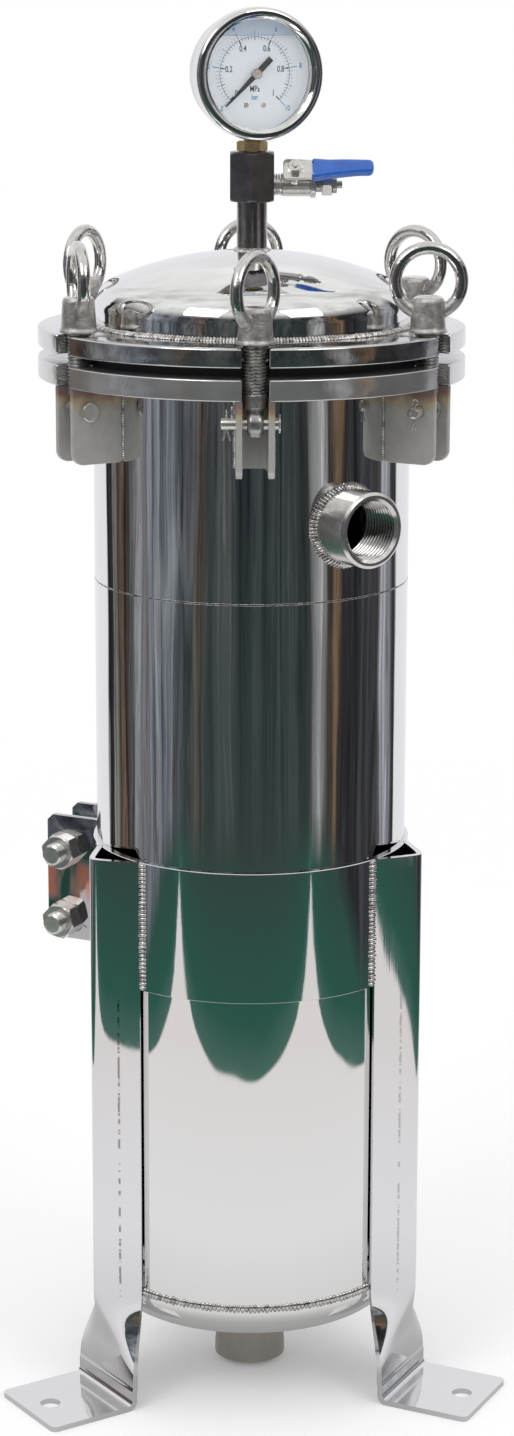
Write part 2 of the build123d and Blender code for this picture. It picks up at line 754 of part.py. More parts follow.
def vent_valve_body():
    body = bar_along_x(valve_body_dia / 2, valve_start_x, valve_end_x)
    body += bar_along_x(valve_collar_dia / 2, valve_end_x - valve_collar_width, valve_end_x)
    body = vent_placed(body)
    body += stem_placed(rod(valve_boss_dia / 2, 0, valve_boss_height))
    ball = valve_ball_dia / 2 + valve_ball_clearance
    body -= stem_placed(Sphere(ball))
    body -= stem_placed(rod(valve_stem_dia / 2 + valve_ball_clearance / 2, 0, valve_boss_height + 1))
    return body - vent_placed(bar_along_x(valve_bore / 2, valve_start_x - 1, valve_end_x + 1))


def vent_ball():
    ball = Sphere(valve_ball_dia / 2) - bar_along_x(valve_bore / 2, -valve_ball_dia, valve_ball_dia)
    return stem_placed(ball - rod(valve_stem_dia / 2, valve_ball_dia / 2 - 1.2, valve_ball_dia))


def vent_stem():
    low = valve_ball_dia / 2 - 1.2
    top = lever_height + lever_plate + lever_nut_height + 0.8
    return stem_placed(rod(valve_stem_dia / 2, low, top))


def lever_outline():
    """The lever plate's outline in its own plane, with the tang that enters the grip."""
    half = lever_width / 2
    tang = lever_width * 0.28
    return make_face(Polyline(
        (-lever_back, -half + 2), (-lever_back + 2, -half), (lever_front, -half * 0.9),
        (lever_front, -tang), (lever_front + grip_length * 0.7, -tang * 0.8),
        (lever_front + grip_length * 0.7, tang * 0.8), (lever_front, tang), (lever_front, half * 0.9),
        (-lever_back + 2, half), (-lever_back, half - 2), close=True))


def vent_lever():
    plate = Pos(0, 0, lever_height) * extrude(lever_outline(), lever_plate)
    return stem_placed(plate - rod(valve_stem_dia / 2, lever_height - 1, lever_height + lever_plate + 1))


def lever_grip():
    """The soft sleeve on the lever, wide at the plate and narrower at its end."""
    half, end = grip_width / 2, grip_end_width / 2
    tip = lever_front + grip_length
    low = lever_height + lever_plate / 2 - grip_thick / 2
    outline = make_face(Polyline(
        (lever_front, -half), (lever_front + grip_length * 0.45, -half), (tip - 3, -end), (tip, -end + 2.5),
        (tip, end - 2.5), (tip - 3, end), (lever_front + grip_length * 0.45, half), (lever_front, half),
        close=True))
    sleeve = Pos(0, 0, low) * extrude(outline, grip_thick)
    sleeve = fillet(sleeve.faces().sort_by(Axis.Z)[-1].edges(), grip_round)
    sleeve = fillet(sleeve.faces().sort_by(Axis.Z)[0].edges(), grip_round)
    return stem_placed(sleeve - Pos(0, 0, lever_height) * extrude(lever_outline(), lever_plate))


def lever_nut():
    base = lever_height + lever_plate
    nut = Pos(0, 0, base) * extrude(RegularPolygon(lever_nut_af / sqrt(3), 6), lever_nut_height)
    return stem_placed(nut - rod(valve_stem_dia / 2, base - 1, base + lever_nut_height + 1))


def vent_outlet_fitting():
    """Neck, hexagon, collar and tip of the vent's outlet, bored through."""
    x = valve_end_x
    fitting = bar_along_x(outlet_neck_dia / 2, x, x + outlet_neck_length)
    x += outlet_neck_length
    fitting += hex_along_x(outlet_hex_af, x, x + outlet_hex_length)
    x += outlet_hex_length
    fitting += bar_along_x(outlet_collar_dia / 2, x, x + outlet_collar_length)
    x += outlet_collar_length
    fitting += bar_along_x(outlet_tip_dia / 2, x, x + outlet_tip_length)
    x += outlet_tip_length
    return vent_placed(fitting - bar_along_x(outlet_bore / 2, valve_end_x - 1, x + 1))


# ---- swing bolts and eye nuts -------------------------------------------------------
def nut_foot_z():
    return lid_top_z + nut_seat_gap


def swing_bolt(azimuth):
    """A bolt whose lower end is an eye round the hinge pin."""
    eye = bar_along_x(eye_end_dia / 2, -eye_end_width / 2, eye_end_width / 2)
    eye = fillet(eye.edges().filter_by(GeomType.CIRCLE), eye_end_round)
    top = nut_foot_z() + nut_height - bolt_tip_gap - pin_z
    neck = rod(bolt_dia / 2, eye_end_dia / 2 - 0.6, top)
    neck = chamfer(neck.edges().filter_by(GeomType.CIRCLE), bolt_chamfer)
    bolt = eye + rod(eye_end_width / 2 - 0.2, 0, eye_end_dia / 2 + 1) + neck
    bolt -= bar_along_x(pin_dia / 2 + pin_clearance, -eye_end_width, eye_end_width)
    return turned(Pos(0, -bolt_circle_radius, pin_z) * bolt, azimuth)


def eye_nut(azimuth, ring_turn):
    """A cast eye nut: a flared boss threaded on the bolt, with a hand ring through its top."""
    lip = rod(nut_foot_dia / 2 + 0.5, 0, nut_lip)
    boss = Pos(0, 0, nut_height / 2) * Cone(nut_foot_dia / 2, nut_top_dia / 2, nut_height)
    boss = fillet(boss.edges().filter_by(GeomType.CIRCLE).sort_by(Axis.Z)[-1], 1.4)
    hoop_radius = (ring_outer_dia - ring_wire) / 2
    ring = Pos(0, 0, ring_centre_height) * Rot(90, 0, 0) * Torus(hoop_radius, ring_wire / 2)
    nut = boss + lip + Rot(0, 0, ring_turn - azimuth) * ring
    nut -= rod(bolt_dia / 2 + nut_thread_clearance, -1, nut_height + 0.01)
    return turned(Pos(0, -bolt_circle_radius, nut_foot_z()) * nut, azimuth)


# ---- nodes --------------------------------------------------------------------------
def bolt_places():
    return [bolt_azimuth + k * 360 / bolt_count for k in range(bolt_count)]


nodes = {
    "upper_shell": upper_shell(),
    "lower_shell": lower_shell(),
    "bottom_head": bottom_head(),
    "inlet_coupling": inlet_coupling(),
    "outlet_coupling": outlet_coupling(),
    "body_flange": body_flange(),
    "bag_seat_ring": seat_ring(),
    "lid_gasket": lid_gasket(),
    "basket": basket(),
    "basket_handle": basket_handle(),
    "filter_bag": filter_bag(),
    "bag_collar": bag_collar(),
    "clamp_band": clamp_band(),
    "clamp_bolts": clamp_bolts(),
    "clamp_nuts": clamp_nuts(),
    "lid_flange": lid_flange(),
    "lid_dome": lid_dome(),
    "riser_pipe": riser_pipe(),
    "gauge_tee": gauge_tee(),
    "gauge_stem": gauge_stem(),
    "gauge_case": gauge_case(),
    "gauge_dial": gauge_dial(),
    "gauge_pointer": gauge_pointer(),
    "gauge_glass": gauge_glass(),
    "gauge_bezel": gauge_bezel(),
    "vent_nipple": vent_nipple(),
    "vent_valve_body": vent_valve_body(),
    "vent_ball": vent_ball(),
    "vent_stem": vent_stem(),
    "vent_lever": vent_lever(),
    "lever_grip": lever_grip(),
    "lever_nut": lever_nut(),
    "vent_outlet_fitting": vent_outlet_fitting(),
    "hinge_pins": Compound(children=[hinge_pin(azimuth) for azimuth in bolt_places()]),
    "split_pins": Compound(children=[split_pin(azimuth) for azimuth in bolt_places()]),
}
for name, azimuth in zip(("left", "right", "back"), leg_azimuths):
    nodes[f"leg_{name}"] = leg(azimuth)
for number, azimuth in enumerate(bolt_places(), start=1):
    nodes[f"hinge_lug_{number}"] = hinge_lug(azimuth)
    nodes[f"swing_bolt_{number}"] = swing_bolt(azimuth)
    nodes[f"eye_nut_{number}"] = eye_nut(azimuth, ring_turns[number - 1])

os.makedirs("parts", exist_ok=True)
for name, solid in nodes.items():
    export_step(solid, f"parts/{name}.step")
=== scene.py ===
import bmesh
import bpy
import json
from math import acos, asin, atan2, cos, degrees, pi, radians, sin, sqrt, tan
from mathutils import Matrix, Vector


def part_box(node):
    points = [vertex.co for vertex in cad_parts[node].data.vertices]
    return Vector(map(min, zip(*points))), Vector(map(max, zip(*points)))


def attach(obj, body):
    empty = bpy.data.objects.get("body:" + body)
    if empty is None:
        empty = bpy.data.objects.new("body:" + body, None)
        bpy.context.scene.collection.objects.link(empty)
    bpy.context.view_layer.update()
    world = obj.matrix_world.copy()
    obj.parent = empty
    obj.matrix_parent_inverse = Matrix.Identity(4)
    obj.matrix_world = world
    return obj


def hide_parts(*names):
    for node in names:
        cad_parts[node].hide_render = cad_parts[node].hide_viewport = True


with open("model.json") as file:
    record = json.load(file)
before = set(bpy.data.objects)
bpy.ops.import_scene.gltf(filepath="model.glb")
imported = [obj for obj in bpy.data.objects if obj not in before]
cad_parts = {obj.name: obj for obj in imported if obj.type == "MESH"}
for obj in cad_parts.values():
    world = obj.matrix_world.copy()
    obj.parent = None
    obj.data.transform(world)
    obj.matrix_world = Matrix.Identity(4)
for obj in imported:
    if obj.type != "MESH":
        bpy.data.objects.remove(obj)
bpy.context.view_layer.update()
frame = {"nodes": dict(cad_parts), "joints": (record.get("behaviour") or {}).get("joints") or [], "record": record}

MM = 0.001


# ---- places, all read from the frame ------------------------------------------------
def low(node):
    """Height of a node's lowest point."""
    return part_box(node)[0].z


def high(node):
    """Height of a node's highest point."""
    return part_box(node)[1].z


def round_radius(node):
    """Outer radius of a node that is round about the vessel's axis."""
    lowest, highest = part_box(node)
    return max(highest.x, -lowest.x, highest.y, -lowest.y)


joints = {joint["name"]: joint for joint in frame["joints"]}
SHELL_RADIUS = round_radius("lower_shell")
WALL = 3.0 * MM
FLANGE_RADIUS = round_radius("lid_flange")
BAND_RADIUS = SHELL_RADIUS + 2.0 * MM
BOLT_NUMBERS = range(1, 7)
PIVOTS = {number: Vector(joints[f"bolt_{number}_swing"]["pos_m"]) for number in BOLT_NUMBERS}
BOLT_CIRCLE = PIVOTS[1].xy.length
PIN_Z = PIVOTS[1].z


def azimuth_of(point):
    """Angle of a point round the axis, from the front (-Y) towards +X."""
    return atan2(point.x, -point.y)


def station(azimuth, radius=0.0, height=0.0):
    """Frame of a place round the vessel: X along the tangent, -Y outwards, Z up."""
    return Matrix.Rotation(azimuth, 4, "Z") @ Matrix.Translation((0, -radius, height))


BOLT_AZIMUTHS = {number: azimuth_of(PIVOTS[number]) for number in BOLT_NUMBERS}


# ---- mesh tools ---------------------------------------------------------------------
def arc(centre, radius, start, end, steps):
    """Points on an arc, angles in degrees."""
    points = []
    for i in range(steps + 1):
        angle = radians(start + (end - start) * i / steps)
        points.append((centre[0] + radius * cos(angle), centre[1] + radius * sin(angle)))
    return points


def rounded(corners, steps=4):
    """An outline from (x, y, radius) corners, each corner rounded by an arc of its radius."""
    outline = []
    count = len(corners)
    for i, (x, y, radius) in enumerate(corners):
        here = Vector((x, y))
        before = Vector(corners[i - 1][:2]) - here
        after = Vector(corners[(i + 1) % count][:2]) - here
        if radius <= 0 or before.length < 1e-9 or after.length < 1e-9:
            outline.append((x, y))
            continue
        before.normalize()
        after.normalize()
        half = before.angle(after) / 2
        if half > radians(89):
            outline.append((x, y))
            continue
        reach = radius / tan(half)
        middle = here + (before + after).normalized() * (radius / sin(half))
        first = here + before * reach - middle
        sweep = first.angle_signed(here + after * reach - middle)
        for k in range(steps + 1):
            spoke = first.copy()
            spoke.rotate(Matrix.Rotation(-sweep * k / steps, 2))
            outline.append(tuple(middle + spoke))
    return outline


def turned(radius, height, angle):
    """A point at an angle about the local Z axis."""
    return Vector((radius * cos(angle), radius * sin(angle), height))


def level_ring(bm, place, radius, height, segments):
    """The vertices of a level circle about the local Z axis."""
    return [bm.verts.new(place @ turned(radius, height, 2 * pi * i / segments)) for i in range(segments)]


def bridge(bm, rings):
    """Faces between rings of one length, each to the next."""
    for here, there in zip(rings, rings[1:]):
        for i in range(len(here)):
            j = (i + 1) % len(here)
            bm.faces.new((here[i], here[j], there[j], there[i]))


def lathe(bm, profile, place=Matrix(), segments=96, closed=True, keep=None):
    """Turn (radius, height) points about the local Z axis; keep(angle, height) may leave a hole."""
    rings = [level_ring(bm, place, radius, height, 1 if radius < 1e-7 else segments)
             for radius, height in profile]
    for k in range(len(profile) if closed else len(profile) - 1):
        after = (k + 1) % len(profile)
        here, there = rings[k], rings[after]
        middle = (profile[k][1] + profile[after][1]) / 2
        for i in range(segments if len(here) + len(there) > 2 else 0):
            j = (i + 1) % segments
            if keep and not keep(2 * pi * (i + 0.5) / segments, middle):
                continue
            corners = (here[i % len(here)], here[j % len(here)], there[j % len(there)], there[i % len(there)])
            bm.faces.new(tuple(dict.fromkeys(corners)))
    return bm


def prism(bm, outline, start, end, place=Matrix()):
    """A flat outline carried along the local Z axis between two heights."""
    bottom, top = [[bm.verts.new(place @ Vector((x, y, z))) for x, y in outline] for z in (start, end)]
    bm.faces.new(bottom[::-1])
    bm.faces.new(top)
    bridge(bm, [bottom, top])
    return bm


def sweep(bm, path, radius, sides):
    """A round bar along a list of points."""
    rings = []
    normal = Vector((0, 0, 1))
    for k, point in enumerate(path):
        ahead = (path[min(k + 1, len(path) - 1)] - path[max(k - 1, 0)]).normalized()
        side = ahead.cross(normal)
        if side.length < 1e-4:
            side = ahead.cross(Vector((1, 0, 0)))
        side.normalize()
        normal = side.cross(ahead).normalized()
        rings.append([bm.verts.new(point + (side * cos(angle) + normal * sin(angle)) * radius)
                      for angle in [2 * pi * i / sides for i in range(sides)]])
    bridge(bm, rings)
    bm.faces.new(rings[0][::-1])
    bm.faces.new(rings[-1])


def shade(mesh, limit=30):
    """Smooth faces, with edges sharper than the limit kept crisp."""
    bm = bmesh.new()
    bm.from_mesh(mesh)
    for face in bm.faces:
        face.smooth = True
    for edge in bm.edges:
        edge.smooth = len(edge.link_faces) != 2 or edge.calc_face_angle(0) < radians(limit)
    bm.to_mesh(mesh)
    bm.free()


def fixed_normals(bm):
    """Turn all faces outwards."""
    bmesh.ops.recalc_face_normals(bm, faces=bm.faces[:])
    return bm


def mesh_of(bm, name):
    """A mesh made from a bmesh, which is used up."""
    mesh = bpy.data.meshes.new(name)
    bm.to_mesh(mesh)
    bm.free()
    return mesh


def linked(name, data):
    """A new object in the scene."""
    made = bpy.data.objects.new(name, data)
    bpy.context.scene.collection.objects.link(made)
    return made


def plain_mesh(obj):
    """A new mesh of an object with its modifiers applied."""
    bpy.context.view_layer.update()
    evaluated = obj.evaluated_get(bpy.context.evaluated_depsgraph_get())
    return bpy.data.meshes.new_from_object(evaluated)


def used_up(obj):
    """The plain mesh of an object that is then removed."""
    mesh = plain_mesh(obj)
    bpy.data.objects.remove(obj)
    return mesh


def baked(obj, *materials):
    """Apply an object's modifiers and give it its materials."""
    mesh = plain_mesh(obj)
    obj.modifiers.clear()
    obj.data = mesh
    mesh.materials.clear()
    for material in materials:
        mesh.materials.append(material)


def settle(made, body, nodes=()):
    """Ride on a body and stand for CAD nodes."""
    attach(made, body)
    if nodes:
        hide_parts(*nodes)
    return made


def piece(name, bm, material, body, nodes=(), sharp=30):
    """Turn a bmesh into a finished piece that rides on a body."""
    mesh = mesh_of(fixed_normals(bm), name)
    shade(mesh, sharp)
    mesh.materials.append(material)
    return settle(linked(name, mesh), body, nodes)


# ---- materials ----------------------------------------------------------------------
class Net:
    """A node tree, with short ways to add nodes. A value is a socket to link or a constant."""

    def __init__(self, tree):
        self.nodes, self.links = tree.nodes, tree.links
        self.surface = self.nodes.get("Principled BSDF")

    def put(self, socket, value):
        """Link a value to a socket, or set it there; colours come as three channels."""
        if isinstance(value, bpy.types.NodeSocket):
            self.links.new(value, socket)
        else:
            socket.default_value = (*value, 1) if socket.type == "RGBA" else value

    def add(self, kind, *values, **named):
        """A new node; values fill its inputs in order, named ones by name."""
        made = self.nodes.new(kind)
        for key, value in [*enumerate(values), *named.items()]:
            self.put(made.inputs[key.replace("_", " ") if isinstance(key, str) else key], value)
        return made

    def paint(self, **values):
        """Values for the Principled shader's inputs."""
        for key, value in values.items():
            self.put(self.surface.inputs[key.replace("_", " ")], value)

    def math(self, operation, *values):
        made = self.add("ShaderNodeMath", *values)
        made.operation = operation
        return made.outputs[0]

    def times(self, product, *others):
        for other in others:
            product = self.math("MULTIPLY", product, other)
        return product

    def plus(self, first, second):
        return self.math("ADD", first, second)

    def minus(self, first, second):
        return self.math("SUBTRACT", first, second)

    def absolute(self, value):
        return self.math("ABSOLUTE", value)

    def reach(self, x, y):
        """Distance from the vessel's axis."""
        return self.math("SQRT", self.plus(self.math("POWER", x, 2), self.math("POWER", y, 2)))

    def azimuth(self, x, y):
        """Azimuth of a direction or place, from the front towards +X, in radians."""
        return self.math("ARCTAN2", x, self.times(y, -1.0))

    def place(self, scale=(1, 1, 1)):
        """Object coordinates, scaled."""
        coordinates = self.nodes.new("ShaderNodeTexCoord").outputs["Object"]
        return self.add("ShaderNodeMapping", Vector=coordinates, Scale=scale).outputs["Vector"]

    def parts(self, vector=None):
        """The X, Y and Z of a vector, or of the object coordinates."""
        return self.add("ShaderNodeSeparateXYZ", vector or self.place()).outputs

    def grain(self, place, scale, detail=3.0, rough=0.5):
        """A noise factor over a place, or over the object coordinates where it is None."""
        return self.add("ShaderNodeTexNoise", Vector=place or self.place(), Scale=scale, Detail=detail,
                        Roughness=rough).outputs["Fac"]

    def ramp(self, factor, stops):
        """A colour ramp over a factor, its stops given as (place, colour)."""
        made = self.add("ShaderNodeValToRGB", factor)
        while len(made.color_ramp.elements) < len(stops):
            made.color_ramp.elements.new(0.5)
        for element, (place, color) in zip(made.color_ramp.elements, stops):
            element.position = place
            element.color = (*color, 1)
        return made.outputs["Color"]

    def spread(self, factor, low_value, high_value, start=0.0, end=1.0):
        """Map a factor between two values."""
        return self.add("ShaderNodeMapRange", factor, start, end, low_value, high_value).outputs["Result"]

    def mixed(self, factor, first, second, blend="MIX"):
        """Mix two colours."""
        made = self.nodes.new("ShaderNodeMix")
        made.data_type = "RGBA"
        made.blend_type = blend
        for index, value in ((0, factor), (6, first), (7, second)):
            self.put(made.inputs[index], value)
        return made.outputs[2]

    def relief(self, height, distance, under=None):
        """Bump the surface by a height factor, over another bump if one is given."""
        bump = self.add("ShaderNodeBump", Height=height, Distance=distance, Strength=1.0)
        if under:
            self.put(bump.inputs["Normal"], under)
        self.paint(Normal=bump.outputs["Normal"])
        return bump.outputs["Normal"]


def grey(value):
    return (value, value, value)


def shader(name, color, metallic=0.0, roughness=0.5, **sockets):
    """A material with one Principled shader, and its net."""
    made = bpy.data.materials.new(name)
    made.use_nodes = True
    net = Net(made.node_tree)
    net.paint(Base_Color=color, Metallic=metallic, Roughness=roughness, **sockets)
    return made, net


def polished_sheet(name, wave=0.00045, scratch=1.0, tone=(0.80, 0.80, 0.79)):
    """Mirror-polished stainless sheet: long shallow waves from rolling and faint upright polishing lines."""
    made, net = shader(name, tone, metallic=1.0, roughness=0.05)
    long_waves = net.grain(net.place((1.0, 1.0, 0.22)), 26.0, 2.0, 0.45)
    lines = net.grain(net.place((1.0, 1.0, 0.03)), 900.0, 4.0, 0.7)
    smears = net.grain(net.place((1.0, 1.0, 0.5)), 40.0, 5.0, 0.65)
    net.paint(Roughness=net.spread(smears, 0.015, 0.075 * scratch, 0.42, 0.85))
    net.relief(lines, 0.000004 * scratch, under=net.relief(long_waves, wave))
    return made


RUB_LINES = (-70 * MM, 82 * MM)
RUB_END = 58 * MM
EAR_SIDE, EAR_HALF_SPAN, EAR_INNER = 45 * MM, 30 * MM, -68 * MM


def leg_sheet():
    """Mirror sheet of the legs, band and ears: rub marks down the legs and a painted warm reflection on the ears.
    """
    made = polished_sheet("polished_leg", wave=0.0003, scratch=1.6, tone=grey(0.78))
    net = Net(made.node_tree)
    x, y, z = net.parts()
    band = low("clamp_band")
    dashes = net.grain(net.place((0.05, 0.05, 1.0)), 210.0, 3.0, 0.7)
    broken = net.spread(dashes, 0, 1, 0.47, 0.53)
    wander = net.times(dashes, 1.4 * MM)
    left, right = [net.spread(net.absolute(net.plus(net.minus(x, line), wander)), 1, 0, 0.35 * MM, 0.8 * MM)
                   for line in RUB_LINES]
    below = net.times(net.spread(z, 1, 0, band, band + 2 * MM),
                      net.spread(z, 0, 1, RUB_END, RUB_END + 8 * MM))
    front = net.spread(y, 1, 0, -0.06, -0.04)
    marks = net.times(net.times(net.math("MAXIMUM", left, right), broken), net.times(below, front))
    rubbed = net.mixed(marks, (0.78, 0.78, 0.79), (0.33, 0.30, 0.29))
    outside = net.spread(net.reach(x, y), 0, 1, BAND_RADIUS + 2 * MM, BAND_RADIUS + 5 * MM)
    off_side = net.absolute(net.minus(y, EAR_SIDE))
    outside = net.times(outside, net.times(net.spread(off_side, 1, 0, EAR_HALF_SPAN, EAR_HALF_SPAN + 4 * MM),
                                           net.spread(x, 1, 0, EAR_INNER - 4 * MM, EAR_INNER)))
    # painted reflection: an orange-brown patch part way up the ears, made less metallic so that its colour shows
    height = net.spread(z, -1, 1, band + 20 * MM, band + 48 * MM)
    patch = net.grain(net.place((1, 1, 0.35)), 75.0, 2.0, 0.5)
    between = net.spread(net.absolute(height), 1, 0, 0.6, 1.0)
    painted_warm_reflection = net.times(outside, between, net.spread(patch, 0, 0.85, 0.40, 0.52))
    dulled = net.mixed(net.times(outside, 0.8), rubbed, (0.42, 0.41, 0.42))
    net.paint(Base_Color=net.mixed(painted_warm_reflection, dulled, (0.62, 0.17, 0.09)), Metallic=net.spread(painted_warm_reflection, 1.0, 0.4))
    return made


def satin_steel(name, tone, roughness, direction=(1, 1, 1), tint_height=None, metallic=1.0, mottling=1.0):
    """Pickled or brushed stainless: soft blotches and fine grain, heat tint near a weld, painted shade in thread
    roots.
    """
    made, net = shader(name, tone, metallic, roughness)
    blotches = net.grain(None, 160.0, 4.0, 0.6)
    pale = tuple(min(1.0, c * (1 + 0.25 * mottling)) for c in tone)
    dark = tuple(c * (1 - 0.28 * mottling) for c in tone)
    color = net.ramp(blotches, [(0.3, dark), (0.52, tone), (0.75, pale)])
    if tint_height is not None:
        level = net.minus(net.parts()["Z"], net.times(blotches, 0.006))
        heat = net.ramp(net.spread(level, 0, 1, tint_height - 0.016, tint_height), [
            (0.0, (1.0, 1.0, 1.0)), (0.35, (1.0, 0.86, 0.62)), (0.62, (0.62, 0.40, 0.34)),
            (0.85, (0.42, 0.36, 0.42)), (1.0, (0.62, 0.60, 0.60))])
        color = net.mixed(1.0, color, heat, "MULTIPLY")
    # painted shade: the roots of a thread, as marked on its vertices, are darkened almost to black
    groove = net.nodes.new("ShaderNodeAttribute")
    groove.attribute_name = "groove"
    depth = net.spread(groove.outputs["Fac"], 0, 0.85, 0.15, 0.75)
    fine = net.grain(net.place(direction), 1400.0, 3.0, 0.7)
    net.paint(Base_Color=net.mixed(depth, color, (0.05, 0.045, 0.04)),
              Roughness=net.spread(fine, roughness * 0.75, roughness * 1.35))
    net.relief(fine, 0.00003)
    return made


def turned_steel(name, tone=(0.66, 0.66, 0.65), smoothest=0.05, roughest=0.22, metallic=1.0):
    """Flange faces and rims turned on a lathe, then polished: fine rings and a few knocks."""
    made, net = shader(name, tone, metallic, 0.12)
    x, y, _ = net.parts()
    rings = net.nodes.new("ShaderNodeTexNoise")
    rings.noise_dimensions = "1D"
    for key, value in (("W", net.reach(x, y)), ("Scale", 2400.0), ("Detail", 2.0)):
        net.put(rings.inputs[key], value)
    patches = net.grain(None, 55.0, 4.0, 0.6)
    net.paint(Roughness=net.spread(patches, smoothest, roughest, 0.35, 0.8))
    net.relief(patches, 0.00035, under=net.relief(rings.outputs["Fac"], 0.000012))
    return made


def cast_steel():
    """The eye nuts' sand-cast boss: grained and dull."""
    made, net = shader("cast_boss", (0.40, 0.39, 0.37), 0.8, 0.42)
    pits, lumps = net.grain(None, 900.0, 5.0, 0.75), net.grain(None, 220.0, 3.0, 0.6)
    net.paint(Base_Color=net.ramp(lumps, [(0.3, (0.32, 0.31, 0.30)), (0.7, (0.62, 0.60, 0.57))]),
              Roughness=net.spread(pits, 0.20, 0.46))
    net.relief(pits, 0.00022, under=net.relief(lumps, 0.0005))
    return made


def buffed_ring():
    """The eye nuts' ring, buffed bright over a slightly uneven casting."""
    made, net = shader("buffed_ring", (0.70, 0.68, 0.66), 1.0, 0.14)
    lumps, marks = net.grain(None, 110.0, 3.0, 0.5), net.grain(None, 1100.0, 3.0, 0.7)
    net.paint(Roughness=net.spread(lumps, 0.08, 0.26, 0.35, 0.75))
    net.relief(marks, 0.00002, under=net.relief(lumps, 0.0006))
    return made


def thread_steel():
    """Bolt threads: dark in the roots, with an oily film."""
    made, net = shader("thread_steel", (0.46, 0.45, 0.44), 0.9, 0.24)
    film = net.grain(None, 260.0, 4.0, 0.6)
    net.paint(Base_Color=net.ramp(film, [(0.3, (0.26, 0.255, 0.25)), (0.7, (0.62, 0.61, 0.60))]),
              Roughness=net.spread(film, 0.18, 0.42))
    return made


def weld_metal():
    """Weld ripples: bright, darkened by noise in patches."""
    made, net = shader("weld_metal", (0.66, 0.65, 0.63), 1.0, 0.13)
    net.paint(Base_Color=net.ramp(net.grain(None, 260.0, 4.0, 0.75), [
        (0.34, (0.76, 0.76, 0.76)), (0.48, (0.62, 0.60, 0.58)), (0.60, (0.30, 0.28, 0.27)),
        (0.72, (0.16, 0.15, 0.16))]))
    return made


def plain(name, color, roughness, bump_scale=0.0, bump_depth=0.0, **sockets):
    """A moulded or painted surface with slight mottling and its own fine relief."""
    made, net = shader(name, color, 0.0, roughness, **sockets)
    mottle = net.grain(None, 180.0, 4.0, 0.6)
    pale = tuple(min(1.0, c * 1.12 + 0.004) for c in color)
    dark = tuple(c * 0.86 for c in color)
    net.paint(Base_Color=net.ramp(mottle, [(0.3, dark), (0.7, pale)]),
              Roughness=net.spread(mottle, roughness * 0.8, min(1.0, roughness * 1.25)))
    if bump_scale:
        net.relief(net.grain(None, bump_scale, 4.0, 0.7), bump_depth)
    return made


def felt():
    """Needle felt: matted fibres with a faint grid of needle marks and a soft sheen."""
    made, net = shader("needle_felt", (0.86, 0.85, 0.81), 0.0, 0.95, Sheen_Weight=0.5, Sheen_Roughness=0.6)
    fibres, tufts = net.grain(net.place((1, 1, 0.6)), 1500.0, 6.0, 0.75), net.grain(None, 170.0, 4.0, 0.6)
    net.paint(Base_Color=net.ramp(tufts, [(0.3, (0.76, 0.74, 0.69)), (0.7, (0.91, 0.90, 0.86))]))
    net.relief(fibres, 0.0005, under=net.relief(tufts, 0.0006))
    return made


OIL_LINE_ABOVE_HUB = 18.6 * MM


def dial_card():
    """Pale blue-white card behind clear oil, made to glow a little as painted light; at the oil's level a painted
    dark line and highlight, and above it painted shade, darker and bluer.
    """
    # painted light: the card glows with its own colour at a fifth of full strength
    made, net = shader("dial_face", (0.92, 0.95, 0.99), roughness=0.5, Emission_Strength=0.2)
    mottle = net.grain(None, 60.0, 3.0, 0.6)
    level = net.plus(net.parts()["Z"], net.times(mottle, 0.4 * MM))
    oil_line = joints["pointer_turn"]["pos_m"][2] + OIL_LINE_ABOVE_HUB
    # painted light: a dark line and a white highlight band at the oil's level, and painted shade above it
    color = net.ramp(net.spread(level, 0, 1, oil_line - 2 * MM, oil_line + 2 * MM), [
        (0.0, (0.88, 0.93, 0.985)), (0.40, (0.84, 0.90, 0.97)), (0.46, (0.45, 0.50, 0.56)),
        (0.52, (1.0, 1.0, 1.0)), (0.62, (0.98, 0.99, 1.0)), (0.70, (0.52, 0.62, 0.74)),
        (1.0, (0.56, 0.66, 0.79))])
    net.paint(Base_Color=color, Emission_Color=color, Roughness=net.spread(mottle, 0.42, 0.60))
    return made


def window_glass():
    """The gauge's clear window, faintly uneven."""
    made, net = shader("window_glass", (1.0, 1.0, 1.0), roughness=0.02, IOR=1.45, Transmission_Weight=1.0)
    net.paint(Roughness=net.spread(net.grain(None, 60.0, 2.0, 0.5), 0.0, 0.03))
    return made


POLISHED = polished_sheet("polished_sheet")
POLISHED_LEG = leg_sheet()
BRIGHT_RIM = polished_sheet("bezel_rim", wave=0.0001, scratch=0.8, tone=(0.78, 0.78, 0.77))
TURNED = turned_steel("turned_lid_flange")
TURNED_DULL = turned_steel("turned_body_flange", (0.64, 0.63, 0.62), 0.09, 0.30, 0.86)
SATIN = satin_steel("satin_coupling", (0.72, 0.70, 0.68), 0.13, metallic=0.92, mottling=0.5)
OUTLET_SATIN = satin_steel("satin_outlet", (0.44, 0.41, 0.38), 0.17, metallic=0.9, mottling=0.25)
LUG_SATIN = satin_steel("satin_lug", (0.50, 0.49, 0.47), 0.38, direction=(1, 1, 0.15),
                        tint_height=low("body_flange"), metallic=0.45, mottling=0.3)
BASKET = satin_steel("perforated_sheet", (0.62, 0.62, 0.61), 0.24)
CAST = cast_steel()
BOLT = satin_steel("bolt_steel_bright", (0.68, 0.66, 0.63), 0.17, metallic=0.88, mottling=0.6)
FITTING = satin_steel("fitting_nickel", (0.52, 0.50, 0.48), 0.30, metallic=0.8)
RING = buffed_ring()
THREAD = thread_steel()
WELD = weld_metal()
BRIGHT = satin_steel("bright_fitting", (0.74, 0.72, 0.69), 0.15, metallic=0.85, mottling=0.5)
GUNMETAL = satin_steel("dark_block", (0.15, 0.143, 0.15), 0.22, metallic=0.82)
RISER = satin_steel("riser_steel", (0.40, 0.39, 0.38), 0.18, direction=(1, 1, 0.1))
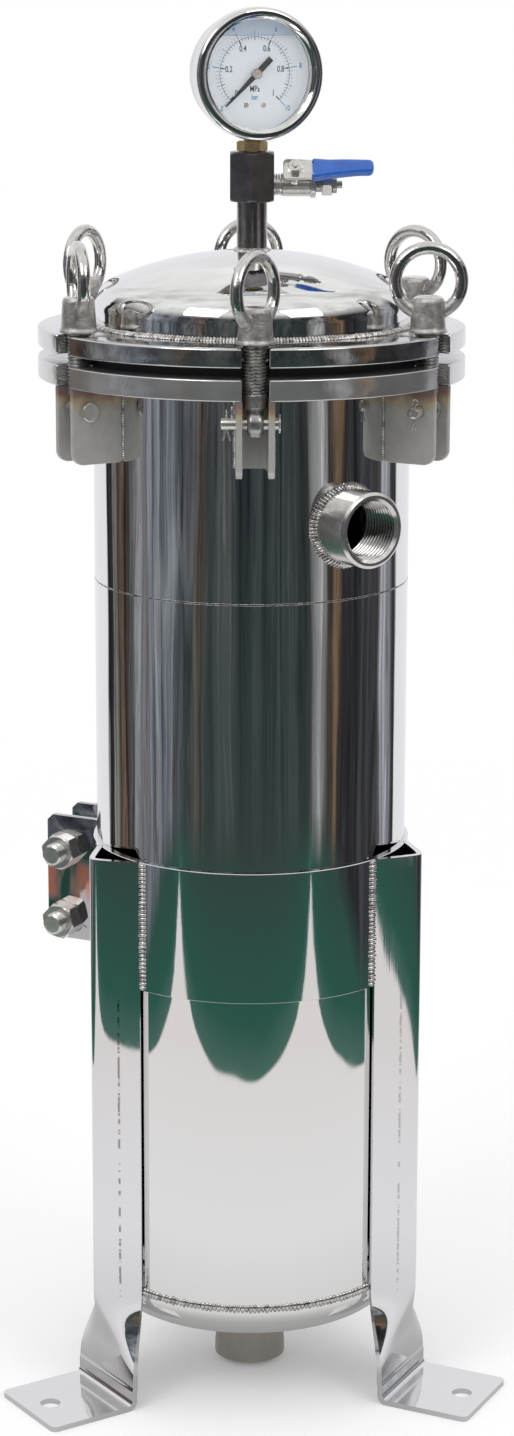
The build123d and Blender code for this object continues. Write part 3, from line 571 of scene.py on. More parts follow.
BRASS = satin_steel("turned_brass", (0.66, 0.49, 0.26), 0.24, metallic=0.7)
HUB = satin_steel("hub_metal", (0.50, 0.45, 0.41), 0.24, metallic=0.7)
RUBBER = plain("gasket_rubber", (0.012, 0.012, 0.013), 0.55, 800.0, 0.00006)
GRIP = plain("blue_vinyl", (0.016, 0.115, 0.50), 0.22, 500.0, 0.00002, Coat_Weight=0.8)
DIAL = dial_card()
INK = plain("dial_ink", (0.015, 0.016, 0.02), 0.5)
BLUE_INK = plain("dial_blue_ink", (0.06, 0.34, 0.68), 0.5)
NEEDLE = plain("needle_black", (0.008, 0.008, 0.009), 0.35)
COLLAR = plain("collar_plastic", (0.80, 0.80, 0.77), 0.42, 400.0, 0.00004)
FELT = felt()
GLASS = window_glass()


# ---- flat plates and threads --------------------------------------------------------
def circle(radius, steps=96, centre=(0.0, 0.0)):
    return arc(centre, radius, 0, 360 * (steps - 1) / steps, steps - 1)


def add_plate(bm, outlines, thickness, place, bevel, steps):
    """Add a flat plate with holes, on the place's z = 0 upwards, its edges softened all round."""
    drawing = bpy.data.curves.new("drawing", "CURVE")
    drawing.dimensions = "2D"
    drawing.fill_mode = "BOTH"
    drawing.extrude = thickness / 2 - bevel
    drawing.bevel_depth = bevel
    drawing.bevel_resolution = steps
    drawing.offset = -bevel
    for outline in outlines:
        spline = drawing.splines.new("POLY")
        spline.points.add(len(outline) - 1)
        for point, (x, y) in zip(spline.points, outline):
            point.co = (x, y, 0, 1)
        spline.use_cyclic_u = True
    mesh = used_up(linked("drawing", drawing))
    mesh.transform(Matrix.Translation((0, 0, thickness / 2)))
    mesh.transform(place)
    before = len(bm.verts)
    bm.from_mesh(mesh)
    bpy.data.meshes.remove(mesh)
    bm.verts.ensure_lookup_table()
    bmesh.ops.remove_doubles(bm, verts=bm.verts[before:], dist=1e-7)


def thread(bm, place, radius, start, end, pitch, depth, rows=8):
    """An outside thread between two heights, fading at both ends; returns its last ring."""
    segments, runout = 40, 0.6
    count = max(2, round((end - start) / pitch * rows))
    rings = []
    for k in range(count + 1):
        height = start + (end - start) * k / count
        fade = min(1.0, max(0.0, min(height - start, end - height) / (pitch * runout)))
        rings.append([])
        for i in range(segments):
            phase = (height / pitch - i / segments) % 1.0
            ridge = min(1.0, max(0.0, abs(phase - 0.5) * 2.6 - 0.3))
            reach = radius - depth * ridge * fade
            rings[-1].append(bm.verts.new(place @ turned(reach, height, 2 * pi * i / segments)))
    bridge(bm, rings)
    return rings[-1]


def close_end(bm, last, place, height, radius):
    """Close a threaded end with a chamfer down to a flat tip."""
    rim = level_ring(bm, place, radius, height, len(last))
    bridge(bm, [last, rim])
    tip = bm.verts.new(place @ Vector((0, 0, height)))
    for i, vert in enumerate(rim):
        bm.faces.new((vert, rim[(i + 1) % len(rim)], tip))


def hex_prism(bm, across_flats, start, end, place, chamfer=0.16):
    """A hexagon head or nut, its corners cut back by the usual 30 degree cone at both ends."""
    segments, quarters = 72, (0.0, 0.25, 0.5, 0.75, 1.0)
    corner, flat = across_flats / sqrt(3), across_flats / 2
    drop = (corner - flat) * tan(radians(30)) * (1 + chamfer)
    rows = []
    levels = [(start + drop * q, q) for q in quarters] + [(end - drop * q, q) for q in quarters[::-1]]
    for height, full in levels:
        limit = flat * 0.985 + (corner - flat * 0.985) * full
        row = []
        for i in range(segments):
            angle = 2 * pi * i / segments
            to_flat = (angle + pi / 6) % (pi / 3) - pi / 6
            reach = min(flat / cos(pi / 6 - abs(to_flat)), limit)
            row.append(bm.verts.new(place @ turned(reach, height, angle)))
        rows.append(row)
    bridge(bm, rows)
    bm.faces.new(rows[0][::-1])
    bm.faces.new(rows[-1])
    return bm


# ---- vessel -------------------------------------------------------------------------
mounts = {mount["name"]: mount for mount in frame["record"]["mounts"]}
INLET_AXIS = Vector(mounts["inlet"]["axis"])
INLET_AZIMUTH = azimuth_of(INLET_AXIS)
INLET_Z = mounts["inlet"]["pos_m"][2]
INLET_MOUTH = max(Vector(mounts["inlet"]["pos_m"]).xy.length, 105.5 * MM)
PORT_RADIUS = 19.7 * MM
BORE_RADIUS = mounts["inlet"]["dims"]["r_mm"] * MM
CROWN_RADIUS = 185 * MM
KNUCKLE_RADIUS = 17 * MM
OUTLET_Z = low("outlet_coupling")
BOTTOM_SEAM = low("lower_shell")
SEAT_SEAM = low("upper_shell")
FLANGE_LOW, FLANGE_HIGH = low("body_flange"), high("body_flange")
LID_LOW, LID_HIGH = low("lid_flange"), high("lid_flange")
RISER_RADIUS = round_radius("riser_pipe")


def dish(skirt, stop_radius):
    """Half profile of a torispherical end, from its rim inwards: (radius, height) points and the wall's."""
    run = SHELL_RADIUS - KNUCKLE_RADIUS
    reach = CROWN_RADIUS - KNUCKLE_RADIUS
    lean = acos(run / reach)
    drop = reach * sin(lean)

    def shell(inset):
        knuckle = arc((run, skirt), KNUCKLE_RADIUS - inset, 0, degrees(lean), 14)
        stop = degrees(acos(stop_radius / (CROWN_RADIUS - inset)))
        crown = arc((0, skirt - drop), CROWN_RADIUS - inset, degrees(lean), stop, 44)
        return [(SHELL_RADIUS - inset, 0)] + knuckle + crown[1:]

    return shell(0) + shell(WALL)[::-1]


def make_shells():
    heights = [SEAT_SEAM + 0.4 * MM, SEAT_SEAM + 3 * MM]
    step = 1.5 * MM
    level = INLET_Z - 24 * MM
    while level < INLET_Z + 24 * MM:
        heights.append(level)
        level += step
    heights += [INLET_Z + 24 * MM + step, FLANGE_LOW, FLANGE_HIGH]
    inside = SHELL_RADIUS - WALL
    profile = [(SHELL_RADIUS, z) for z in heights] + [(inside, z) for z in reversed(heights)]
    hole = PORT_RADIUS - 2.2 * MM
    axis = Vector((sin(INLET_AZIMUTH), -cos(INLET_AZIMUTH), 0))

    def outside_hole(angle, height):
        point = Vector((cos(angle), sin(angle), 0)) * SHELL_RADIUS
        if point.dot(axis) < 0:
            return True
        across = point - axis * point.dot(axis)
        return Vector((across.length, height - INLET_Z)).length > hole

    bm = lathe(bmesh.new(), profile, segments=360, keep=outside_hole)
    piece("upper_shell_sheet", bm, POLISHED, "vessel", ["upper_shell"])

    rise = [BOTTOM_SEAM + 0.4 * MM] + [BOTTOM_SEAM + (SEAT_SEAM - BOTTOM_SEAM) * k / 12 for k in range(1, 12)]
    rise.append(SEAT_SEAM - 0.4 * MM)
    profile = [(SHELL_RADIUS, z) for z in rise] + [(inside, z) for z in reversed(rise)]
    bm = lathe(bmesh.new(), profile, segments=256)
    piece("lower_shell_sheet", bm, POLISHED, "vessel", ["lower_shell"])

    under = Matrix.Translation((0, 0, BOTTOM_SEAM - 0.4 * MM)) @ Matrix.Rotation(pi, 4, "X")
    bm = lathe(bmesh.new(), dish(2.6 * MM, PORT_RADIUS - 1.5 * MM), place=under, segments=256)
    piece("bottom_dish", bm, POLISHED, "vessel", ["bottom_head"])


def coupling(name, length, place, node, material):
    """A half coupling: chamfered outside, with a pipe thread inside, built up +Z to its mouth."""
    pitch, depth, lead = 2.309 * MM, 1.4 * MM, 1.4 * MM
    segments, rows = 96, 7
    start, end = length - 0.2 * MM - lead, 2 * MM
    bm = bmesh.new()
    groove = bm.verts.layers.float.new("groove")
    outer = [(BORE_RADIUS + 0.4 * MM, 0), (PORT_RADIUS - 0.5 * MM, 0), (PORT_RADIUS, 0.5 * MM),
             (PORT_RADIUS, length - 1.2 * MM), (PORT_RADIUS - 1.2 * MM, length - 0.15 * MM),
             (PORT_RADIUS - 1.5 * MM, length), (BORE_RADIUS + lead + 0.2 * MM, length),
             (BORE_RADIUS + lead, length - 0.2 * MM), (BORE_RADIUS, start)]
    rings = [level_ring(bm, place, radius, height, segments) for radius, height in outer]
    count = round((start - end) / pitch * rows)
    for k in range(1, count + 1):
        height = start + (end - start) * k / count
        rings.append([])
        for i in range(segments):
            phase = (height / pitch - i / segments) % 1.0
            ridge = min(1.0, max(0.0, 1.3 - abs(phase - 0.5) * 2.6))
            radius = BORE_RADIUS + depth * ridge * min(1.0, (start - height) / pitch + 0.15)
            rings[-1].append(bm.verts.new(place @ turned(radius, height, 2 * pi * i / segments)))
            # for painted shade: each vertex records how far into the thread's root it lies
            rings[-1][-1][groove] = ridge
    bridge(bm, rings + rings[:1])
    piece(name, bm, material, "vessel", [node], sharp=25)


def make_couplings():
    inner = SHELL_RADIUS - WALL - 2.5 * MM
    sideways = station(INLET_AZIMUTH, 0, INLET_Z) @ Matrix.Rotation(pi / 2, 4, "X")
    coupling("inlet_half_coupling", INLET_MOUTH - inner, sideways @ Matrix.Translation((0, 0, inner)),
             "inlet_coupling", SATIN)
    top = high("outlet_coupling")
    upside_down = Matrix.Translation((0, 0, top)) @ Matrix.Rotation(pi, 4, "X")
    coupling("outlet_half_coupling", top - OUTLET_Z, upside_down, "outlet_coupling", OUTLET_SATIN)


def slotted_outline(slot_radius):
    """The flange's outline with its six open slots, slightly broken where each slot meets the rim."""
    corners = []
    nick = 0.6 * MM
    edge = sqrt(FLANGE_RADIUS**2 - slot_radius**2)
    for number in BOLT_NUMBERS:
        turn = Matrix.Rotation(BOLT_AZIMUTHS[number], 2)
        half = degrees(asin((slot_radius + nick) / FLANGE_RADIUS))
        stretch = 360 / len(BOLT_NUMBERS) - 2 * half
        slot = [(-slot_radius - nick, -sqrt(FLANGE_RADIUS**2 - (slot_radius + nick) ** 2)),
                (-slot_radius, -edge + nick)]
        slot += [(x, -y) for x, y in arc((0, BOLT_CIRCLE), slot_radius, 180, 360, 20)]
        slot += [(slot_radius, -edge + nick), (slot_radius + nick, slot[0][1])]
        corners += [tuple(turn @ Vector(point)) for point in slot]
        around = arc((0, 0), FLANGE_RADIUS, -90 + half, -90 + half + stretch, 44)[1:-1]
        corners += [tuple(turn @ Vector(point)) for point in around]
    return corners


def make_flanges():
    """The two slotted flange rings, one on the shell and one round the lid's dome."""
    slot = 6.85 * MM
    for name, node, material, body, bore, bottom, top, bevel, steps in (
            ("body_flange_ring", "body_flange", TURNED_DULL, "vessel", SHELL_RADIUS + 0.05 * MM,
             FLANGE_LOW, FLANGE_HIGH, 0.9 * MM, 3),
            ("lid_flange_ring", "lid_flange", TURNED, "lid", SHELL_RADIUS - WALL,
             LID_LOW, LID_HIGH, 1.3 * MM, 4)):
        bm = bmesh.new()
        add_plate(bm, [slotted_outline(slot), circle(bore, 192)], top - bottom,
                  Matrix.Translation((0, 0, bottom)), bevel, steps)
        piece(name, bm, material, body, [node])


def make_dome():
    bm = lathe(bmesh.new(), dish(7.8 * MM, RISER_RADIUS + 0.02 * MM), segments=256,
               place=Matrix.Translation((0, 0, LID_HIGH)))
    piece("lid_dish", bm, POLISHED, "lid", ["lid_dome"])


# ---- hinge lugs, pins and swing bolts -------------------------------------------------
LUG_GAP, LUG_PLATE = 13.0 * MM, 3.3 * MM
LUG_HALF = LUG_GAP / 2 + LUG_PLATE
LUG_REACH = 112.4 * MM
LUG_LOW = low("hinge_lug_1")
PIN_RADIUS = 3.0 * MM
BOLT_RADIUS, THREAD_PITCH, THREAD_DEPTH = 6.0 * MM, 1.75 * MM, 0.95 * MM
NUT_FOOT = low("eye_nut_1")
SIDEWAYS = Matrix.Rotation(pi / 2, 4, "Y")
CHEEK_UPRIGHT = Matrix(((0, 0, 1, 0), (1, 0, 0, 0), (0, 1, 0, 0), (0, 0, 0, 1)))


def make_lugs():
    """Each lug is a bent channel: two cheeks with rounded lower corners and a web on the shell."""
    back = SHELL_RADIUS - 0.6 * MM
    cheek = rounded([(-back, LUG_LOW, 3 * MM), (-back, FLANGE_LOW, 0), (-LUG_REACH, FLANGE_LOW, 0),
                     (-LUG_REACH, LUG_LOW, 6 * MM)], 8)
    hole = circle(PIN_RADIUS + 0.05 * MM, 32, (-BOLT_CIRCLE, PIN_Z))
    for number in BOLT_NUMBERS:
        bm = bmesh.new()
        place = station(BOLT_AZIMUTHS[number])
        for start in (-LUG_HALF, LUG_GAP / 2):
            add_plate(bm, [cheek, hole], LUG_PLATE, place @ Matrix.Translation((start, 0, 0)) @ CHEEK_UPRIGHT,
                      0.45 * MM, 2)
        front = SHELL_RADIUS + LUG_PLATE
        web = [(-LUG_GAP / 2 - 0.2 * MM, -back), (LUG_GAP / 2 + 0.2 * MM, -back)]
        web += [(LUG_GAP / 2 + 0.2 * MM, -front - 1.6 * MM)] + [
            (x, -y) for x, y in arc((LUG_GAP / 2 - 2.2 * MM, front + 2.2 * MM), 2.2 * MM, 0, -90, 6)]
        web += [(x, -y) for x, y in arc((-LUG_GAP / 2 + 2.2 * MM, front + 2.2 * MM), 2.2 * MM, -90, -180, 6)]
        web += [(-LUG_GAP / 2 - 0.2 * MM, -front - 1.6 * MM)]
        prism(bm, web, LUG_LOW + 2.4 * MM, FLANGE_LOW, place)
        piece(f"lug_channel_{number}", bm, LUG_SATIN, "vessel", [f"hinge_lug_{number}"])


def make_pins():
    """Headed hinge pins and their split pins, six of each, in one piece of each kind."""
    left, right = -LUG_HALF - 7.6 * MM, LUG_HALF + 1.9 * MM
    drop = 1.6 * MM
    pins, splits = bmesh.new(), bmesh.new()
    for number in BOLT_NUMBERS:
        place = station(BOLT_AZIMUTHS[number], BOLT_CIRCLE, PIN_Z)
        profile = [(0, left), (PIN_RADIUS - 0.9 * MM, left), (PIN_RADIUS - 0.2 * MM, left + 0.35 * MM),
                   (PIN_RADIUS, left + 1.0 * MM), (PIN_RADIUS, right), (4.6 * MM, right),
                   (4.9 * MM, right + 0.3 * MM), (4.9 * MM, right + 0.8 * MM), (4.5 * MM, right + 1.1 * MM),
                   (0, right + 1.1 * MM)]
        lathe(pins, profile, place @ SIDEWAYS, 40, closed=False)
        x = -LUG_HALF - 7.6 * 0.6 * MM
        eye = [Vector((x, 0, PIN_RADIUS + drop * 1.5)) + Vector((0, sin(a), -cos(a))) * drop * 0.9
               for a in [radians(20 + 320 * k / 24) for k in range(25)]]
        for side in (-1, 1):
            leg = [Vector((x + side * 0.28 * MM, 0, PIN_RADIUS + 0.8 * MM)),
                   Vector((x + side * 0.28 * MM, 0, 0)), Vector((x + side * 0.3 * MM, 0, -PIN_RADIUS)),
                   Vector((x + side * 0.9 * MM, 0.1 * MM, -PIN_RADIUS - 2.5 * MM)),
                   Vector((x + side * 1.9 * MM, 0.2 * MM, -PIN_RADIUS - 5.6 * MM))]
            sweep(splits, [place @ p for p in leg], 0.5 * MM, 10)
        sweep(splits, [place @ p for p in eye], 0.62 * MM, 10)
    piece("hinge_pins_turned", pins, BRIGHT, "vessel", ["hinge_pins"])
    piece("split_pins_wire", splits, BRIGHT, "vessel", ["split_pins"], sharp=50)


def make_swing_bolts():
    """Eye end, plain shank and a rolled thread up into the nut."""
    top = high("swing_bolt_1") - PIN_Z
    plain_end = 14.5 * MM
    for number in BOLT_NUMBERS:
        place = station(BOLT_AZIMUTHS[number], BOLT_CIRCLE, PIN_Z)
        bm = bmesh.new()
        half, eye, hole = 4.2 * MM, 7.0 * MM, PIN_RADIUS + 0.05 * MM
        round_off = 2.6 * MM
        profile = [(hole, -half + 0.3 * MM), (hole + 0.3 * MM, -half)]
        profile += arc((eye - round_off, -half + round_off), round_off, -90, 0, 8)
        profile += arc((eye - round_off, half - round_off), round_off, 0, 90, 8)
        profile += [(hole + 0.3 * MM, half), (hole, half - 0.3 * MM)]
        lathe(bm, profile, place @ SIDEWAYS, 56)
        neck = [(3.4 * MM, 4.4 * MM), (3.9 * MM, 6.2 * MM), (4.6 * MM, 7.2 * MM), (5.5 * MM, 7.9 * MM),
                (5.9 * MM, 8.6 * MM), (5.93 * MM, plain_end)]
        lathe(bm, neck, place, 40, closed=False)
        last = thread(bm, place, BOLT_RADIUS - 0.03 * MM, plain_end, top - 0.6 * MM, THREAD_PITCH,
                      THREAD_DEPTH)
        close_end(bm, last, place, top, 4.9 * MM)
        piece(f"swing_bolt_shank_{number}", bm, THREAD, f"bolt_{number}", [f"swing_bolt_{number}"],
              sharp=38)


# The direction that each nut's ring faces in the photograph.
RING_TURNS = [radians(turn) for turn in (57, 0, -39, 20, 63, -77)]


def make_eye_nuts():
    """Cast eye nuts: boss and ring grown into one another, with the bore left open."""
    height, foot, top = 18.7 * MM, 9.5 * MM, 8.3 * MM
    ring_radius, wire, centre = 17.1 * MM, 3.4 * MM, 26.2 * MM
    for number in BOLT_NUMBERS:
        place = station(BOLT_AZIMUTHS[number], BOLT_CIRCLE, NUT_FOOT)
        bm = bmesh.new()
        bore = BOLT_RADIUS + 0.05 * MM
        profile = [(bore, 0), (foot + 0.3 * MM, 0), (foot + 0.5 * MM, 0.3 * MM), (foot + 0.5 * MM, 1.1 * MM),
                   (foot + 0.1 * MM, 1.5 * MM), (foot - 0.35 * MM, 2.4 * MM), (top + 0.5 * MM, 8 * MM),
                   (top, height - 2.5 * MM), (top - 0.7 * MM, height - 0.8 * MM), (top - 2.2 * MM, height),
                   (0, height + 0.3 * MM), (0, height - 2.0 * MM), (bore, height - 2.0 * MM)]
        lathe(bm, profile, place, 64)
        turn = Matrix.Rotation(RING_TURNS[number - 1] - BOLT_AZIMUTHS[number], 4, "Z")
        hoop = place @ turn @ Matrix.Translation((0, 0, centre)) @ Matrix.Rotation(pi / 2, 4, "X")
        section = arc((ring_radius, 0), wire, 0, 360 * 23 / 24, 23)
        lathe(bm, section, hoop, 96)
        name = f"eye_nut_cast_{number}"
        made = linked(name, mesh_of(fixed_normals(bm), name))
        grown = made.modifiers.new("grown", "REMESH")
        grown.mode = "VOXEL"
        grown.voxel_size = 0.42 * MM
        eased = made.modifiers.new("eased", "SMOOTH")
        eased.factor = 0.5
        eased.iterations = 9
        baked(made, CAST, RING)
        boss_top = NUT_FOOT + height - 1.0 * MM
        for polygon in made.data.polygons:
            polygon.use_smooth = True
            polygon.material_index = 1 if polygon.center.z > boss_top else 0
        settle(made, f"nut_{number}", [f"eye_nut_{number}"])


# ---- legs and their clamp band --------------------------------------------------------
LEG_AZIMUTHS = {"left": radians(-56.5), "right": radians(63.5), "back": radians(-176.5)}
LEG_TOP = high("leg_left")
LEG_HALF = 30 * MM / sqrt(2)
LEG_EDGE = sqrt(BAND_RADIUS**2 - LEG_HALF**2)
LEG_SHEET = 3 * MM
LEG_RIDGE = LEG_EDGE + LEG_HALF - 2.4 * MM
FOOT_PLATE = 95.5 * MM
FOOT_HALF = 56.5 / 2 * MM
FOOT_REACH = 145.5 * MM
FOOT_HOLE = mounts["foot_bolts"]["dims"]["pcd_mm"] / 2 * MM
FOOT_BEND = 5.5 * MM
PRESS_TOP, PRESS_LOW = 62 * MM, 12.5 * MM
BAND_LOW, BAND_HIGH = low("clamp_band"), high("clamp_band")


def ease(t):
    t = min(1.0, max(0.0, t))
    return t * t * (3 - 2 * t)


def softest(first, second, blend):
    """The smaller of two values, rounded where they cross."""
    return (first + second - sqrt((first - second) ** 2 + blend**2)) / 2


def leg_surface(across, along):
    """A point of the leg's outer face: across from -1 to 1, along the sheet downwards from its top."""
    height = LEG_TOP - along
    press = ease((PRESS_TOP - height) / (PRESS_TOP - PRESS_LOW))
    widen = ease((PRESS_TOP - 4 * MM - height) / (PRESS_TOP - 4 * MM - PRESS_LOW))
    half = LEG_HALF + (FOOT_HALF - LEG_HALF) * widen
    edge = LEG_EDGE + (FOOT_PLATE - LEG_EDGE) * press
    slope = (LEG_RIDGE + 1.1 * MM - LEG_EDGE) / LEG_HALF * (1 - press)
    x = across * half
    ridge = 3.2 * MM
    wedge = edge + slope * (half - (sqrt(x * x + ridge * ridge) - ridge * 0.55))
    pressed = LEG_RIDGE + 0.5 * MM - (LEG_RIDGE + 0.5 * MM - FOOT_PLATE) * ease(
        (PRESS_TOP + 3 * MM - height) / (PRESS_TOP - 14 * MM - PRESS_LOW))
    fade = ease((PRESS_TOP + 14 * MM - height) / (12 * MM))
    return x, wedge + (softest(wedge, pressed, 0.9 * MM) - wedge) * fade, height


def foot_surface(across, along):
    """A point of the foot's upper face past the press: down, round the bend and outwards."""
    straight = PRESS_LOW - FOOT_BEND
    inner = FOOT_BEND - LEG_SHEET
    bend = inner * pi / 2
    x = across * FOOT_HALF
    if along < straight:
        return x, FOOT_PLATE, PRESS_LOW - along
    if along < straight + bend:
        angle = (along - straight) / inner
        return x, FOOT_PLATE + inner * (1 - cos(angle)), FOOT_BEND - inner * sin(angle)
    out = FOOT_PLATE + inner + along - straight - bend
    corner = 3.5 * MM
    if out > FOOT_REACH - corner:
        cut = corner - sqrt(max(0.0, corner**2 - (out - FOOT_REACH + corner) ** 2))
        x = across * (FOOT_HALF - cut)
    return x, out, LEG_SHEET


def make_legs():
    """Angle-section legs, pressed flat near the floor and bent out into a drilled foot."""
    drop = LEG_TOP - PRESS_LOW
    foot = PRESS_LOW - FOOT_BEND + (FOOT_BEND - LEG_SHEET) * pi / 2
    foot += FOOT_REACH - FOOT_PLATE - (FOOT_BEND - LEG_SHEET)
    rows = [drop * k / 40 * 0.78 for k in range(40)]
    rows += [drop * (0.78 + 0.22 * k / 56) for k in range(57)]
    columns = [-1 + 2 * i / 72 for i in range(73)]
    for name, azimuth in LEG_AZIMUTHS.items():
        place = station(azimuth)
        bm = bmesh.new()
        grid = [[leg_surface(u, along) for u in columns] for along in rows]
        steps = 70
        for k in range(1, steps + 1):
            share = k / steps
            if share > 0.9:
                share = 0.9 + 0.1 * sin((share - 0.9) / 0.1 * pi / 2)
            grid.append([foot_surface(u, foot * share) for u in columns])
        verts = [[bm.verts.new(place @ Vector((x, -r, z))) for x, r, z in row] for row in grid]
        for here, there in zip(verts, verts[1:]):
            for i in range(len(columns) - 1):
                bm.faces.new((here[i], there[i], there[i + 1], here[i + 1]))
        fixed_normals(bm)
        outward = place.to_3x3() @ Vector((0, -1, 0))
        bm.faces.ensure_lookup_table()
        if bm.faces[30].normal.dot(outward) < 0:
            bmesh.ops.reverse_faces(bm, faces=bm.faces[:])
        made = linked(f"leg_angle_{name}", mesh_of(bm, f"leg_angle_{name}"))
        sheet = made.modifiers.new("sheet", "SOLIDIFY")
        sheet.thickness = LEG_SHEET
        sheet.offset = -1
        sheet.use_even_offset = True
        drill_bm = bmesh.new()
        lathe(drill_bm, [(0, -5 * MM), (5.5 * MM, -5 * MM), (5.5 * MM, 8 * MM), (0, 8 * MM)],
              station(azimuth, FOOT_HOLE), 48, closed=False)
        drill = linked("drill", mesh_of(fixed_normals(drill_bm), "drill"))
        cut = made.modifiers.new("hole", "BOOLEAN")
        cut.operation = "DIFFERENCE"
        cut.solver = "EXACT"
        cut.object = drill
        baked(made, POLISHED_LEG)
        bpy.data.objects.remove(drill)
        shade(made.data, 32)
        softened = made.modifiers.new("edges", "BEVEL")
        softened.width = 0.35 * MM
        softened.segments = 2
        softened.limit_method = "ANGLE"
        softened.angle_limit = radians(50)
        settle(made, "vessel", [f"leg_{name}"])


EAR_AZIMUTH = radians(-116)
EAR_SPREAD, EAR_PLATE, EAR_REACH = 25 * MM, 3.5 * MM, 119 * MM
CLAMP_RADIUS = 107.5 * MM
CLAMP_HEIGHTS = [BAND_LOW + 12 * MM, BAND_LOW + 52 * MM]
EAR_FACE = EAR_SPREAD / 2 + EAR_PLATE
CLAMP_NUT, CLAMP_THREAD, CLAMP_HEAD, CLAMP_HEXAGON = 10 * MM, 6.3 * MM, 7.5 * MM, 18 * MM


def make_band():
    """The split band and its two chamfered ears."""
    bm = bmesh.new()
    half_gap = asin(EAR_SPREAD / 2 / BAND_RADIUS)
    profile = [(SHELL_RADIUS + 0.03 * MM, BAND_LOW), (BAND_RADIUS - 0.3 * MM, BAND_LOW),
               (BAND_RADIUS, BAND_LOW + 0.3 * MM), (BAND_RADIUS, BAND_HIGH - 0.3 * MM),
               (BAND_RADIUS - 0.3 * MM, BAND_HIGH), (SHELL_RADIUS + 0.03 * MM, BAND_HIGH)]
    steps = 220
    rings = []
    for i in range(steps + 1):
        azimuth = EAR_AZIMUTH + half_gap + (2 * pi - 2 * half_gap) * i / steps
        place = station(azimuth)
        rings.append([bm.verts.new(place @ Vector((0, -r, z))) for r, z in profile])
    bridge(bm, rings)
    bm.faces.new(rings[0])
    bm.faces.new(rings[-1][::-1])
    chamfer = 3.5 * MM
    root = SHELL_RADIUS + 0.2 * MM
    soft = 0.8 * MM
    outline = rounded([(-root, BAND_LOW, 0), (-root, BAND_HIGH, 0), (-EAR_REACH + chamfer, BAND_HIGH, soft),
                       (-EAR_REACH, BAND_HIGH - chamfer, soft), (-EAR_REACH, BAND_LOW + chamfer, soft),
                       (-EAR_REACH + chamfer, BAND_LOW, soft)])
    holes = [circle(6.5 * MM, 40, (-CLAMP_RADIUS, height)) for height in CLAMP_HEIGHTS]
    for start in (-EAR_FACE, EAR_SPREAD / 2):
        place = station(EAR_AZIMUTH) @ Matrix.Translation((start, 0, 0)) @ CHEEK_UPRIGHT
        add_plate(bm, [outline] + holes, EAR_PLATE, place, 0.4 * MM, 2)
    piece("leg_band", bm, POLISHED_LEG, "vessel", ["clamp_band"])


def make_clamp_bolts():
    """Hexagon bolts across the ears, with their nuts and the threads that stand out of them."""
    bolts, nuts = bmesh.new(), bmesh.new()
    for height in CLAMP_HEIGHTS:
        place = station(EAR_AZIMUTH, CLAMP_RADIUS, height) @ SIDEWAYS
        end = EAR_FACE + CLAMP_NUT + CLAMP_THREAD
        shank = BOLT_RADIUS - 0.1 * MM
        hex_prism(bolts, CLAMP_HEXAGON, -EAR_FACE - CLAMP_HEAD, -EAR_FACE, place)
        lathe(bolts, [(0, -EAR_FACE), (shank, -EAR_FACE), (shank, 0)], place, 40, closed=False)
        last = thread(bolts, place, shank, 0, end - 0.8 * MM, THREAD_PITCH, THREAD_DEPTH)
        close_end(bolts, last, place, end, 4.7 * MM)
        twisted = place @ Matrix.Rotation(radians(17), 4, "Z")
        hex_prism(nuts, CLAMP_HEXAGON, EAR_FACE, EAR_FACE + CLAMP_NUT, twisted)
    piece("clamp_bolts_hex", bolts, BOLT, "vessel", ["clamp_bolts"], sharp=32)
    piece("clamp_nuts_hex", nuts, BOLT, "vessel", ["clamp_nuts"], sharp=24)


# ---- top connection -------------------------------------------------------------------
TEE_LOW, TEE_HIGH = low("gauge_tee"), high("gauge_tee")


def make_riser_and_tee():
    """The riser, the hexagonal tee block with turned ends, and the gauge's brass stem."""
    bottom, top = low("riser_pipe"), high("riser_pipe")
    bore = RISER_RADIUS - 2.6 * MM
    bm = lathe(bmesh.new(), [(bore, bottom), (RISER_RADIUS, bottom), (RISER_RADIUS, top), (bore, top)],
               segments=72)
    piece("riser_tube", bm, RISER, "lid", ["riser_pipe"])

    bm = hex_prism(bmesh.new(), 23 * MM, TEE_LOW, TEE_HIGH, Matrix.Rotation(pi / 6, 4, "Z"), chamfer=0.3)
    piece("tee_block", bm, GUNMETAL, "lid", ["gauge_tee"], sharp=24)

    bm = bmesh.new()
    hex_top = TEE_HIGH + 5.6 * MM
    hex_prism(bm, 14 * MM, TEE_HIGH + 0.02 * MM, hex_top, Matrix())
    neck_end = high("gauge_stem")
    lathe(bm, [(4.5 * MM, hex_top - 1 * MM), (4.5 * MM, hex_top + 0.4 * MM), (4.3 * MM, hex_top + 0.7 * MM),
               (4.5 * MM, hex_top + 1.0 * MM), (4.5 * MM, neck_end)], segments=56, closed=False)
    piece("stem_hexagon", bm, BRASS, "lid", ["gauge_stem"], sharp=24)


# ---- pressure gauge -------------------------------------------------------------------
GAUGE_AXIS = Vector(joints["pointer_turn"]["axis"]) * -1
GAUGE_CENTRE = Vector(joints["pointer_turn"]["pos_m"])
GAUGE_FACE = station(azimuth_of(GAUGE_AXIS), 0, GAUGE_CENTRE.z) @ Matrix.Rotation(pi / 2, 4, "X")
CASE_RADIUS, BEZEL_RADIUS, WINDOW_RADIUS = 31 * MM, 34 * MM, 28 * MM
CASE_BACK, CASE_FRONT = -13 * MM, 11 * MM
DIAL_FACE = 3.8 * MM
GLASS_FRONT = 13 * MM
SWEEP_START, SWEEP = radians(225), radians(-270)


